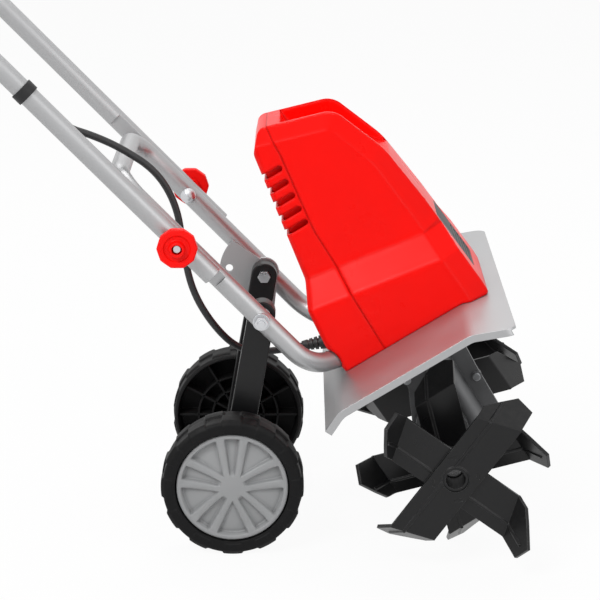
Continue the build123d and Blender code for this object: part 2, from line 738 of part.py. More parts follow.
def front_grille():
    """Black louvred insert in the nose, with a bare plate above the louvres."""
    height = GRILLE_HIGH_N - GRILLE_LOW_N
    wide = 2 * (GRILLE_HALF - GRILLE_MARGIN)
    plate = RectangleRounded(2 * (GRILLE_HALF - FIT), height - 2 * FIT, GRILLE_CORNER_R)
    plate = extrude(plate, GRILLE_DEPTH - FIT)
    for index in range(LOUVRE_COUNT):
        y = GRILLE_MARGIN - height / 2 + index * LOUVRE_PITCH
        plate -= Pos(0, y, 2.2) * Rot(LOUVRE_TILT, 0, 0) * Box(wide, 2.6, 3.2)
    panel = extrude(RectangleRounded(wide, height / 3, 3), GRILLE_DEPTH)
    plate -= Pos(0, height / 4 + 2, GRILLE_DEPTH - 2 * FIT) * panel
    return grille_frame() * Pos(0, 0, -GRILLE_DEPTH + FIT / 2) * plate


def lower_points():
    """Bends of the lower handle, from its end on the deck round to the other end."""
    run = (LOW_BEND_Z - PIVOT_Z) / SLOPE.Z
    bend_x = PIVOT_X + SLOPE.X * run
    top = HANDLE.from_local_coords(Vector(CROSSBAR_RUN, 0, 0))
    above = TUBE_R + TUBE_SEAT
    rise = DECK.to_local_coords(Vector(LOW_RISE_X, 0, DECK_Z))
    rise_z = DECK_Z + (above - rise.Z) / math.cos(TILT)
    end = Vector(LOW_RISE_X, 0, rise_z) + DECK.x_dir * LOW_END_RUN
    half = [
        (end.X, LOW_RISE_Y, end.Z),
        (LOW_RISE_X, LOW_RISE_Y, rise_z),
        (bend_x, LOWER_TUBE_Y, LOW_BEND_Z),
        (top.X, LOWER_TUBE_Y, top.Z),
    ]
    return [(x, -y, z) for x, y, z in half] + list(reversed(half))


def lower_path():
    """Middle line of the lower handle."""
    radii = [LOW_RISE_R, LOW_BEND_R, CROSSBAR_R]
    return FilletPolyline(*lower_points(), radius=radii + list(reversed(radii)))


def lap_box(low_s, high_s, low_y, high_y):
    """A block in the handle's frame, on both sides, that presses a flat on the tubes."""
    length = high_s - low_s
    depth = high_y - low_y
    box = Pos((low_s + high_s) / 2, (low_y + high_y) / 2, 0) * Box(length, depth, 3 * TUBE_D)
    return HANDLE * box + HANDLE * mirror(box, about=Plane.XZ)


def lower_handle():
    """Hairpin of tube, flattened outside where the upper handle laps it."""
    path = lower_path()
    flat_y = LAP_Y - LAP_GAP / 2
    low = -SADDLE_RUN - 12
    outside = swept(path, TUBE_R) - lap_box(low, LAP_RUN, flat_y, flat_y + 30)
    inside = swept(path, TUBE_R - TUBE_WALL)
    inside -= lap_box(low - TUBE_WALL, LAP_RUN, flat_y - TUBE_WALL, flat_y + 30)
    tube = outside - inside
    tube -= round_bar(BOLT_R + BOLT_ROOM, -THROUGH, THROUGH, KNOB_X, KNOB_Z)
    tube -= round_bar(BOLT_R + BOLT_ROOM, -THROUGH, THROUGH, PIVOT_X, PIVOT_Z)
    for bolt in deck_bolt_places():
        tube -= bolt * Cylinder(BOLT_R + BOLT_ROOM, 60)
    return tube


def deck_bolt_places():
    """Frames of the bolts that hold the lower handle to the deck."""
    places = []
    rise = DECK.to_local_coords(Vector(lower_points()[1]))
    for side in (-1, 1):
        for run in DECK_BOLT_RUNS:
            places.append(DECK * Pos(rise.X + run, side * LOW_RISE_Y, 0))
    return places


def deck_bolts():
    """Bolts through the lower tubes and the deck, with nuts below."""
    bolts = []
    for place in deck_bolt_places():
        top = TUBE_D + TUBE_SEAT
        low = -DECK_T - NUT_T - BOLT_R
        shank = Pos(0, 0, low) * Cylinder(BOLT_R, top - low, align=RISING)
        saddle = Pos(0, 0, top - SADDLE_DEPTH) * Cylinder(SADDLE_R, SADDLE_DEPTH + SADDLE_T, align=RISING)
        saddle -= Pos(0, 0, TUBE_R + TUBE_SEAT) * Rot(0, 90, 0) * Cylinder(TUBE_R + SNUG, 4 * SADDLE_R)
        hexagon = RegularPolygon(BOLT_ACROSS / 2, 6, major_radius=False)
        head = Pos(0, 0, top + SADDLE_T) * extrude(hexagon, BOLT_HEAD_T)
        nut = Pos(0, 0, -DECK_T - NUT_T - FIT) * extrude(hexagon, NUT_T)
        bolts.append(place * (shank + saddle + head + nut))
    return solid_of(*bolts)


def grip_points():
    """Middle line of the upper handle, in the handle's own frame."""
    tilt = math.radians(GRIP_TILT)
    end_s = GRIP_RUN + GRIP_REACH * math.cos(tilt)
    end_t = GRIP_REACH * math.sin(tilt)
    half = [
        (-SADDLE_RUN, UPPER_TUBE_Y, 0),
        (GRIP_RUN, UPPER_TUBE_Y, 0),
        (end_s, UPPER_TUBE_Y, end_t),
    ]
    return [(s, -y, t) for s, y, t in half] + list(reversed(half))


def grip_frame():
    """Frame of the grip bar: X up the last stretch of tube, Y along the bar."""
    tilt = math.radians(GRIP_TILT)
    bar = grip_points()[2]
    local = Plane(
        origin=(bar[0], 0, bar[2]),
        x_dir=(math.cos(tilt), 0, math.sin(tilt)),
        z_dir=(-math.sin(tilt), 0, math.cos(tilt)),
    )
    return HANDLE * local.location


def upper_handle():
    """U of tube with flattened ends that lap the lower handle."""
    radii = [GRIP_BEND_R, GRIP_CORNER_R, GRIP_CORNER_R, GRIP_BEND_R]
    path = FilletPolyline(*grip_points(), radius=radii)
    flat_y = LAP_Y + LAP_GAP / 2
    outside = HANDLE * swept(path, TUBE_R)
    outside -= lap_box(-SADDLE_RUN - 5, LAP_RUN, flat_y - 30, flat_y)
    inside = HANDLE * swept(path, TUBE_R - TUBE_WALL)
    inside -= lap_box(-SADDLE_RUN - 5, LAP_RUN + TUBE_WALL, flat_y - 30, flat_y + TUBE_WALL)
    tube = outside - inside
    tube -= round_bar(BOLT_R + BOLT_ROOM, -THROUGH, THROUGH, KNOB_X, KNOB_Z)
    return tube


def knob(side):
    """Lobed clamp knob with a raised ring and an open middle."""
    face = KNOB_DEPTH - KNOB_FACE
    body = Pos(0, 0, KNOB_NECK) * Cylinder(KNOB_R, face - KNOB_NECK, align=RISING)
    body = chamfer(body.edges().filter_by(GeomType.CIRCLE), KNOB_EDGE)
    scallop = Pos(KNOB_R + KNOB_SCALLOP_OUT, 0) * Cylinder(KNOB_SCALLOP_R, THROUGH)
    for index in range(KNOB_LOBES):
        body -= Rot(0, 0, index * 360 / KNOB_LOBES) * scallop
    body += Cylinder(KNOB_NECK_R, KNOB_NECK + 1, align=RISING)
    raised = Circle(KNOB_RING_R) - Circle(KNOB_RING_BORE)
    body += Pos(0, 0, face) * extrude(raised, KNOB_RING_H)
    body += Cylinder(KNOB_BOSS_R, KNOB_DEPTH, align=RISING)
    body -= Cylinder(BOLT_R + BOLT_ROOM, 3 * KNOB_DEPTH)
    turned = Rot(-90, 0, 0) if side > 0 else Rot(90, 0, 0)
    return Pos(KNOB_X, side * KNOB_INNER_Y, KNOB_Z) * turned * body


def handle_bolts():
    """Domed bolts of the clamp knobs, their heads inside the lower tubes."""
    head_y = LOWER_TUBE_Y - TUBE_R
    bolt = round_bar(BOLT_R, head_y - 1, KNOB_BOLT_END, KNOB_X, KNOB_Z)
    dome = Pos(KNOB_X, head_y + DOME_SINK, KNOB_Z) * Sphere(DOME_R)
    dome &= round_bar(DOME_EDGE_R, head_y - DOME_R, head_y, KNOB_X, KNOB_Z)
    return solid_of(*both_sides(bolt + dome))


def pivot_bolts():
    """Hexagon bolts on which the wheel arm swings."""
    face = LEG_INNER_Y - RUNNING
    head = hexagon_bar(BOLT_ACROSS, face - BOLT_HEAD_T, face, PIVOT_X, PIVOT_Z)
    end = LOWER_TUBE_Y + TUBE_R + WASHER_T + NUT_T + BOLT_R / 2
    shank = round_bar(BOLT_R, face - 1, end, PIVOT_X, PIVOT_Z)
    return solid_of(*both_sides(head + shank))


def pivot_nuts():
    """Washers and nuts outside the lower tubes, and spacers between tube and leg."""
    tube_y = LOWER_TUBE_Y + TUBE_R
    face = tube_y + WASHER_T
    washer = ring(WASHER_R, BOLT_R + FIT, tube_y - WASHER_DISH, face, PIVOT_X, PIVOT_Z)
    run = (PIVOT_Z - KNOB_Z) / SLOPE.Z
    washer -= HANDLE * Pos(run, LOWER_TUBE_Y, 0) * Rot(0, 90, 0) * Cylinder(TUBE_R + SNUG, 4 * TUBE_D)
    nut = hexagon_bar(BOLT_ACROSS, face, face + NUT_T, PIVOT_X, PIVOT_Z)
    nut -= round_bar(BOLT_R + FIT, 0, THROUGH, PIVOT_X, PIVOT_Z)
    pieces = both_sides(washer + nut)
    low = -(LOWER_TUBE_Y - TUBE_R)
    pieces.append(ring(WASHER_R, BOLT_R + FIT, low, -LEG_OUTER_Y - RUNNING, PIVOT_X, PIVOT_Z))
    return solid_of(*pieces)


def lock_point(angle):
    """A lock hole's place, by its angle about the pivot."""
    turn = math.radians(angle)
    return PIVOT_X + LOCK_R * math.cos(turn), PIVOT_Z + LOCK_R * math.sin(turn)


def lock_plate():
    """Quadrant plate on the left tube, with a hole for each position of the wheel arm."""
    start = LEG_ANGLE - LOCK_SWING - LOCK_BEFORE
    sweep_angle = LOCK_SWING + LOCK_BEFORE + LOCK_AFTER
    arc = CenterArc((PIVOT_X, PIVOT_Z), LOCK_PLATE_R, start, sweep_angle)
    corner = (PIVOT_X + LOCK_EYE_R - 1, PIVOT_Z)
    sector = make_face([arc, Line(arc @ 1, corner), Line(corner, arc @ 0)])
    sector = sector + Pos(PIVOT_X, PIVOT_Z) * Circle(LOCK_EYE_R)
    sector = sector - Pos(PIVOT_X, PIVOT_Z) * Circle(BOLT_R + BOLT_ROOM)
    for angle in (LEG_ANGLE, LEG_ANGLE - LOCK_SWING):
        sector = sector - Pos(*lock_point(angle)) * Circle(LOCK_PIN_R + RUNNING)
    return slab(sector, LOCK_PLATE_Y, LOCK_PLATE_Y + LOCK_PLATE_T)


def leg(side):
    """One leg of the wheel arm: closed box section with round ends."""
    length = LEG_RUN.length
    middle = ((PIVOT_X + WHEEL_X) / 2, (PIVOT_Z + WHEEL_Z) / 2)
    place = Pos(*middle) * Rot(0, 0, LEG_ANGLE)
    outer = slab(place * SlotCenterToCenter(length, LEG_WIDTH), LEG_INNER_Y, LEG_OUTER_Y)
    rounded = outer.edges().filter_by(GeomType.LINE).group_by(Axis.Y)
    outer = fillet(rounded[0] + rounded[-1], 1.5)
    inner = slab(
        place * SlotCenterToCenter(length, LEG_WIDTH - 2 * LEG_WALL),
        LEG_INNER_Y + LEG_WALL,
        LEG_OUTER_Y - LEG_WALL,
    )
    inner -= round_bar(AXLE_R + 3, 0, THROUGH, WHEEL_X, WHEEL_Z)
    inner -= round_bar(BOLT_R + 3, 0, THROUGH, PIVOT_X, PIVOT_Z)
    box = outer - inner
    box -= round_bar(AXLE_R + FIT, 0, THROUGH, WHEEL_X, WHEEL_Z)
    box -= round_bar(BOLT_R + BOLT_ROOM, 0, THROUGH, PIVOT_X, PIVOT_Z)
    if side > 0:
        lock_x, lock_z = lock_point(LEG_ANGLE)
        box -= round_bar(SLEEVE_R + FIT, 0, THROUGH, lock_x, lock_z)
        return box
    return mirror(box, about=Plane.XZ)


def lock_sleeve():
    """Turned sleeve in the left leg in which the lock pin slides."""
    x, z = lock_point(LEG_ANGLE)
    sleeve = round_bar(SLEEVE_R, SLEEVE_INNER_Y, LEG_OUTER_Y, x, z)
    sleeve += round_bar(SLEEVE_R + 2, LEG_INNER_Y - 4, LEG_INNER_Y, x, z)
    sleeve -= round_bar(COLLAR_R + 0.3, SLEEVE_INNER_Y + 2.5, LEG_OUTER_Y - 3, x, z)
    return sleeve - round_bar(LOCK_PIN_R + BOLT_ROOM, 0, THROUGH, x, z)


def lock_pin():
    """Spring plunger: shank, collar and an eye for the pull ring."""
    x, z = lock_point(LEG_ANGLE)
    tip = LEG_OUTER_Y - 0.1
    pin = round_bar(LOCK_PIN_R, EYE_Y - 4.5, tip, x, z)
    pin += round_bar(COLLAR_R, tip - 3 - LOCK_TRAVEL - 3.4, tip - 3 - LOCK_TRAVEL - 0.4, x, z)
    hole = Pos(x, EYE_Y, z) * Rot(0, 90, 0) * Cylinder(EYE_BORE_R, 30)
    return pin - hole


def lock_spring():
    """Coil spring in the sleeve, pushing on the pin's collar."""
    x, z = lock_point(LEG_ANGLE)
    low = SLEEVE_INNER_Y + 3.2
    high = LEG_OUTER_Y - 7.6 - LOCK_TRAVEL
    coil = Helix((high - low) / SPRING_TURNS, high - low, SPRING_R)
    start = Plane(origin=coil @ 0, z_dir=coil % 0)
    spring = sweep(start * Circle(SPRING_WIRE_R), path=coil, is_frenet=True)
    return Pos(x, low, z) * Rot(-90, 0, 0) * spring


def pull_ring():
    """Split ring that hangs in the pin's eye."""
    x, z = lock_point(LEG_ANGLE)
    hoop = Torus(RING_R, RING_WIRE_R)
    return Pos(x, EYE_Y, z - RING_R) * Rot(90, 0, 0) * hoop


def wheel(side):
    """Moulded wheel with a lugged tread, open and ribbed on its inner side."""
    width = WHEEL_OUTER_Y - WHEEL_INNER_Y
    base_r = WHEEL_R - TREAD_DEPTH
    web_low = WEB_Y - WHEEL_INNER_Y
    profile = outline(
        [
            (RIM_R, 0),
            (base_r - 2, 0),
            (base_r, 6),
            (base_r, width - 6),
            (base_r - 4, width),
            (RIM_R - 2, width),
        ],
        [0, 0, 4, 6, 2, 0],
    )
    tyre = revolve(Plane.XZ * profile, Axis.Z)
    gap = 360 / TREAD_LUGS
    for row, turn in ((3.0, 0.0), (width / 2 - 2.0, gap / 2)):
        tread = Circle(WHEEL_R)
        for index in range(TREAD_LUGS):
            notch = Pos(WHEEL_R, 0) * Rectangle(2 * TREAD_DEPTH, WHEEL_R * math.radians(gap) * 0.4)
            tread -= Rot(0, 0, turn + index * gap) * notch
        tread -= Circle(base_r - 1.5)
        tyre += Pos(0, 0, row) * extrude(tread, width / 2 - 1)
    wheel_body = tyre + Pos(0, 0, web_low) * Cylinder(RIM_R + 2, WEB_T, align=RISING)
    wheel_body += Cylinder(WHEEL_HUB_R, web_low + WEB_T, align=RISING)
    for radius in WHEEL_BANDS:
        band = Circle(radius) - Circle(radius - WHEEL_RIB_T)
        wheel_body += Pos(0, 0, WHEEL_RIB_IN) * extrude(band, web_low - WHEEL_RIB_IN + 1)
    for index in range(TREAD_LUGS):
        rib = Box(RIM_R - WHEEL_HUB_R + 3, WHEEL_RIB_T, web_low - WHEEL_RIB_IN)
        rib = Pos((RIM_R + WHEEL_HUB_R) / 2, 0, (web_low + WHEEL_RIB_IN) / 2 + 1) * rib
        wheel_body += Rot(0, 0, index * gap) * rib
    wheel_body -= Cylinder(AXLE_R + BOLT_ROOM, THROUGH)
    return on_axle(wheel_body, side)


def on_axle(body, side):
    """A wheel piece, modelled from its inner side, set on its end of the axle."""
    turned = Rot(-90, 0, 0) if side > 0 else Rot(90, 0, 0)
    return Pos(WHEEL_X, side * WHEEL_INNER_Y, WHEEL_Z) * turned * body


def spoke_edge(radius, turn, side):
    """A point on one edge of a spoke, given the spoke's angle."""
    widening = (SPOKE_RIM_HALF - SPOKE_HUB_HALF) / (POCKET_R - SPOKE_HUB_R)
    half = SPOKE_HUB_HALF + widening * (radius - SPOKE_HUB_R)
    along = math.radians(turn)
    return (
        radius * math.cos(along) - side * half * math.sin(along),
        radius * math.sin(along) + side * half * math.cos(along),
    )


def cap_pocket(spread, inner_r):
    """Recess between two spokes that lie a spread to each side of X."""
    beyond = POCKET_R + 8
    low = [spoke_edge(inner_r, -spread, 1), spoke_edge(beyond, -spread, 1)]
    high = [spoke_edge(beyond, spread, -1), spoke_edge(inner_r, spread, -1)]
    face = Polygon(*low, *high, align=None) & Circle(POCKET_R)
    face = fillet(face.vertices(), POCKET_CORNER_R)
    return Pos(0, 0, POCKET_RIM_H) * extrude(face, CAP_RIM_H, taper=-POCKET_DRAFT)


def hub_cap(side):
    """Dished cap with ten spokes in five pairs and tapered recesses between them."""
    back = WEB_Y + WEB_T + FIT - WHEEL_INNER_Y
    profile = outline(
        [
            (0, 0),
            (CAP_R, 0),
            (CAP_R, CAP_RIM_H),
            (CAP_R - CAP_RIM, CAP_RIM_H),
            (CAP_R - CAP_RIM - 1, SPOKE_H),
            (SPOKE_HUB_R + 4, SPOKE_H),
            (SPOKE_HUB_R - 4, CAP_RIM_H + 0.4),
            (0, CAP_RIM_H + 1),
        ],
        [0, 0, 1, 0.5, 0, 0, 8, 0],
    )
    cap = revolve(Plane.XZ * profile, Axis.Z)
    hollow_floor = Polygon(
        (0, 0),
        (CAP_R, 0),
        (POCKET_R, POCKET_RIM_H),
        (SPOKE_HUB_R, POCKET_HUB_H),
        (0, POCKET_HUB_H),
        align=None,
    )
    floor = revolve(Plane.XZ * hollow_floor, Axis.Z)
    step = 360 / SPOKE_PAIRS
    narrow = cap_pocket(SPOKE_SPREAD, SPOKE_HUB_R + 3) - floor
    wide = cap_pocket(step / 2 - SPOKE_SPREAD, SPOKE_HUB_R) - floor
    for pair in range(SPOKE_PAIRS):
        cap -= Rot(0, 0, 90 + pair * step) * narrow
        cap -= Rot(0, 0, 90 + (pair + 0.5) * step) * wide
    cap -= Cylinder(AXLE_R + 7, 9)
    return on_axle(Pos(0, 0, back) * cap, side)


def wheel_axle():
    """Bar through both legs and wheels."""
    return round_bar(AXLE_R, -AXLE_END, AXLE_END, WHEEL_X, WHEEL_Z)


def axle_nuts():
    """Spacers inside the wheels and push nuts outside them."""
    spacer = ring(9, AXLE_R + FIT, LEG_OUTER_Y + FIT, WHEEL_INNER_Y - RUNNING, WHEEL_X, WHEEL_Z)
    nut = ring(10, AXLE_R + FIT, WEB_Y + WEB_T + RUNNING, AXLE_END - 0.5, WHEEL_X, WHEEL_Z)
    return solid_of(*both_sides(spacer), *both_sides(nut))


def fold_x(w):
    """Fold of a blade tip, from the axis, at a place across the blade."""
    share = (w + TINE_WIDTH / 2) / TINE_WIDTH
    return FOLD_LEAD + share * (FOLD_TRAIL - FOLD_LEAD)


def tine_blade(way, bead_w):
    """Half of a plate from the axis out: flat, fold and tip, with its stretch of the bead."""
    half = TINE_WIDTH / 2
    lead = (FOLD_LEAD, -half)
    trail = (FOLD_TRAIL, half)
    bead_z = TINE_T - BEAD_SINK
    lie = Rot(0, 90, 0)
    tip_face = Polygon(
        lead,
        (FOLD_LEAD + TIP_LEAD, -half),
        (fold_x(TIP_POINT_W) + TIP_POINT, TIP_POINT_W),
        (fold_x(TIP_CUT_W) + TIP_CUT, TIP_CUT_W),
        (FOLD_TRAIL + TIP_TRAIL, half),
        trail,
        align=None,
    )
    tip = extrude(tip_face, TINE_T)
    tip += Pos(fold_x(bead_w), bead_w, bead_z) * lie * Cylinder(BEAD_R, BEAD_TIP, align=RISING)
    hinge = Axis((*lead, TINE_T / 2), (trail[0] - lead[0], TINE_WIDTH, 0))
    blade = tip.rotate(hinge, way * TINE_FOLD)
    blade += swept(Line((*lead, TINE_T / 2), (*trail, TINE_T / 2)), TINE_T / 2)
    blade += extrude(Polygon((0, -half), lead, trail, (0, half), align=None), TINE_T)
    blade += Pos(0, bead_w, bead_z) * lie * Cylinder(BEAD_R, fold_x(bead_w), align=RISING)
    return blade


def tine_plate(way):
    """Strip of sheet with a blade at each end, both tips folded the same way."""
    return tine_blade(way, BEAD_W) + Rot(0, 0, 180) * tine_blade(way, -BEAD_W)


def tine_star(y, start_angle, side):
    """Two crossed plates welded together: the outer one folds inwards, the inner one outwards."""
    star = Rot(0, 0, start_angle) * tine_plate(1)
    star += Rot(0, 0, start_angle + 90) * Pos(0, 0, -TINE_T) * tine_plate(-1)
    star += Pos(0, 0, TINE_T) * Cone(HUB_R + WELD, HUB_R + WELD / 3, WELD, align=RISING)
    mark = Rot(0, 0, 90) * SlotOverall(DIMPLE_LENGTH, DIMPLE_WIDTH)
    dimple = Pos(DIMPLE_R, 0, TINE_T - DIMPLE_DEPTH) * extrude(mark, TINE_T)
    for index in range(4):
        star -= Rot(0, 0, start_angle + 45 + 90 * index) * dimple
    star -= Cylinder(HUB_R + FIT, 60)
    right = Pos(TINE_AXIS.X, -y, TINE_AXIS.Z) * Rot(90, 0, 0) * star
    return right if side < 0 else mirror(right, about=Plane.XZ)


def tine_shaft():
    """Shaft through the gearcase that carries both tine hubs."""
    shaft = round_bar(TINE_SHAFT_R, -TINE_SHAFT_HALF, TINE_SHAFT_HALF, TINE_AXIS.X, TINE_AXIS.Z)
    for y in (-HUB_PIN_Y, HUB_PIN_Y):
        shaft -= Pos(TINE_AXIS.X, y, TINE_AXIS.Z) * Cylinder(HUB_PIN_R + FIT, 60)
    return shaft


def tine_hubs():
    """Tubes over the shaft that carry two stars each; the outer ends are open sockets."""
    tube = ring(HUB_R, TINE_SHAFT_R + FIT, HUB_INNER_Y, HUB_END_Y, TINE_AXIS.X, TINE_AXIS.Z)
    tube -= round_bar(SOCKET_R, TINE_SHAFT_HALF + 2, THROUGH, TINE_AXIS.X, TINE_AXIS.Z)
    tube -= Pos(TINE_AXIS.X, HUB_PIN_Y, TINE_AXIS.Z) * Cylinder(HUB_PIN_R + FIT, 60)
    return solid_of(*both_sides(tube))


def hub_pins():
    """Cross pins that hold the hubs on the shaft."""
    pin = Pos(TINE_AXIS.X, HUB_PIN_Y, TINE_AXIS.Z) * Cylinder(HUB_PIN_R, 2 * (HUB_R + HUB_PIN_END))
    pin += Pos(TINE_AXIS.X, HUB_PIN_Y, TINE_AXIS.Z + HUB_R + HUB_PIN_R) * Cylinder(HUB_PIN_HEAD_R, HUB_PIN_R)
    return solid_of(*both_sides(pin))


def worm_wheel():
    """Wheel on the tine shaft, its teeth set over by the worm's lead angle."""
    wheel_r = MODULE * WHEEL_TEETH / 2
    root = wheel_r - DEDENDUM * MODULE
    tip = wheel_r + ADDENDUM * MODULE
    blank = Cylinder(root, WORM_WHEEL_T)
    flank = [(root - TOOTH_SINK, TOOTH_ROOT_HALF), (wheel_r, TOOTH_T / 2), (tip, TOOTH_TIP_HALF)]
    tooth_face = Polygon(*[(r, -half) for r, half in flank], *reversed(flank), align=None)
    tooth = extrude(tooth_face, TOOTH_HALF_LENGTH, both=True)
    tooth = tooth.rotate(Axis.X, -LEAD_ANGLE)
    step = 360 / WHEEL_TEETH
    blank += [Rot(0, 0, (index + 0.5) * step) * tooth for index in range(WHEEL_TEETH)]
    blank -= Cylinder(TINE_SHAFT_R + FIT / 2, 40)
    return DECK * Pos(TINE_U, 0, -SHAFT_DROP) * Rot(90, 0, 0) * blank


def motor_shaft():
    """Motor shaft, cut as a worm at its lower end."""
    low = -SHAFT_DROP - SHAFT_FOOT
    shaft = Pos(0, 0, low) * Cylinder(SHAFT_R, SHAFT_TOP_N - low, align=RISING)
    height = WORM_TURNS * PITCH
    start_n = -SHAFT_DROP - height / 2
    root = WORM_R - DEDENDUM * MODULE
    pitch_line = WORM_R - root
    helix = Helix(PITCH, height, root)
    tip = pitch_line + ADDENDUM * MODULE
    flank = [(-THREAD_SINK, THREAD_ROOT_HALF), (pitch_line, TOOTH_T / 2), (tip, TOOTH_TIP_HALF)]
    profile = Polygon(*[(r, -half) for r, half in flank], *reversed(flank), align=None)
    across = Plane(origin=helix @ 0, x_dir=(1, 0, 0), z_dir=(0, -1, 0))
    thread = sweep(across * profile, path=helix, is_frenet=True)
    core = Cylinder(root, height + 6)
    worm = Pos(0, 0, -SHAFT_DROP) * core + Pos(0, 0, start_n) * Rot(0, 0, WORM_TURN) * thread
    return DECK * Pos(MOTOR_U, 0, 0) * (shaft + worm)


def armature_core():
    """Slotted stack on the motor shaft with its end windings."""
    face = Circle(ARMATURE_R)
    slot = Pos(ARMATURE_R, 0) * Rectangle(2 * SLOT_DEPTH, SLOT_WIDTH)
    for index in range(ARMATURE_SLOTS):
        face -= Rot(0, 0, index * 360 / ARMATURE_SLOTS) * slot
    stack = Pos(0, 0, STACK_LOW_N) * extrude(face, STACK_HIGH_N - STACK_LOW_N)
    for low in (STACK_LOW_N - WINDING_H, STACK_HIGH_N):
        stack += Pos(0, 0, low) * Cylinder(WINDING_R, WINDING_H, align=RISING)
    stack -= Cylinder(SHAFT_R + FIT / 2, THROUGH)
    return DECK * Pos(MOTOR_U, 0, 0) * stack


def commutator():
    """Copper commutator above the windings."""
    drum = Circle(COMMUTATOR_R) - Circle(SHAFT_R + FIT / 2)
    cut = Pos(COMMUTATOR_R, 0) * Rectangle(2, 0.8)
    for index in range(ARMATURE_SLOTS):
        drum -= Rot(0, 0, (index + 0.5) * 360 / ARMATURE_SLOTS) * cut
    return DECK * Pos(MOTOR_U, 0, STACK_HIGH_N + WINDING_H + 1) * extrude(drum, COMMUTATOR_H)


def cooling_fan():
    """Radial fan below the stack."""
    fan = Cylinder(FAN_R, FAN_DISC_T, align=RISING) + Cylinder(2 * SHAFT_R, FAN_H, align=RISING)
    blade = Pos(FAN_BLADE_AT, 0, FAN_H / 2) * Rot(0, 0, FAN_RAKE) * Box(FAN_BLADE, 1.6, FAN_H - FAN_DISC_T)
    for index in range(FAN_BLADES):
        fan += Rot(0, 0, index * 360 / FAN_BLADES) * blade
    fan -= Cylinder(SHAFT_R + FIT / 2, THROUGH)
    return DECK * Pos(MOTOR_U, 0, FAN_LOW_N) * fan


def motor_frame():
    """Drum that holds the stator, with a flange on the deck and the lower bearing's seat."""
    drum = Cylinder(MOTOR_FRAME_R, MOTOR_TOP_N, align=RISING) + Cylinder(FLANGE_R, FLANGE_T, align=RISING)
    drum -= Pos(0, 0, FLANGE_T + BEARING_T) * Cylinder(MOTOR_BORE_R, THROUGH, align=RISING)
    drum -= Pos(0, 0, FLANGE_T) * Cylinder(BEARING_R + FIT / 2, THROUGH, align=RISING)
    drum -= Cylinder(SHAFT_R + SHAFT_CLEAR, THROUGH)
    window = Pos(MOTOR_FRAME_R, 0, FAN_LOW_N + FAN_H / 2) * Box(12, 14, 9)
    for index in range(AIR_WINDOWS):
        drum -= Rot(0, 0, (index + 0.5) * 360 / AIR_WINDOWS) * window
    for place in flange_screw_places():
        drum -= place * Cylinder(SCREW_R + FIT, THROUGH)
    return DECK * Pos(MOTOR_U, 0, FIT) * drum


def flange_screw_places():
    """Screws round the motor flange, in the motor's own frame."""
    return [Rot(0, 0, 45 + index * 90) * Pos(FLANGE_SCREW_R, 0, 0) for index in range(4)]


def gearcase_screws():
    """Screws through flange, deck and gearcase, and those that join the gearcase halves."""
    screws = []
    for place in flange_screw_places():
        top = FLANGE_T + FIT
        screw = Pos(0, 0, -FLANGE_SCREW_RUN) * Cylinder(SCREW_R, FLANGE_SCREW_RUN + top, align=RISING)
        screw += Pos(0, 0, top) * Cylinder(SCREW_HEAD_R, SCREW_HEAD_T, align=RISING)
        screws.append(DECK * Pos(MOTOR_U, 0, 0) * place * screw)
    for u, n in GEARCASE_JOINTS:
        seat = -CASE_BOSS_HALF - FIT
        across = round_bar(SCREW_R, seat - 1, CASE_WEB_HALF, u, n)
        across += round_bar(SCREW_HEAD_R, seat - SCREW_HEAD_T, seat, u, n)
        screws.append(DECK * across)
    return solid_of(*screws)


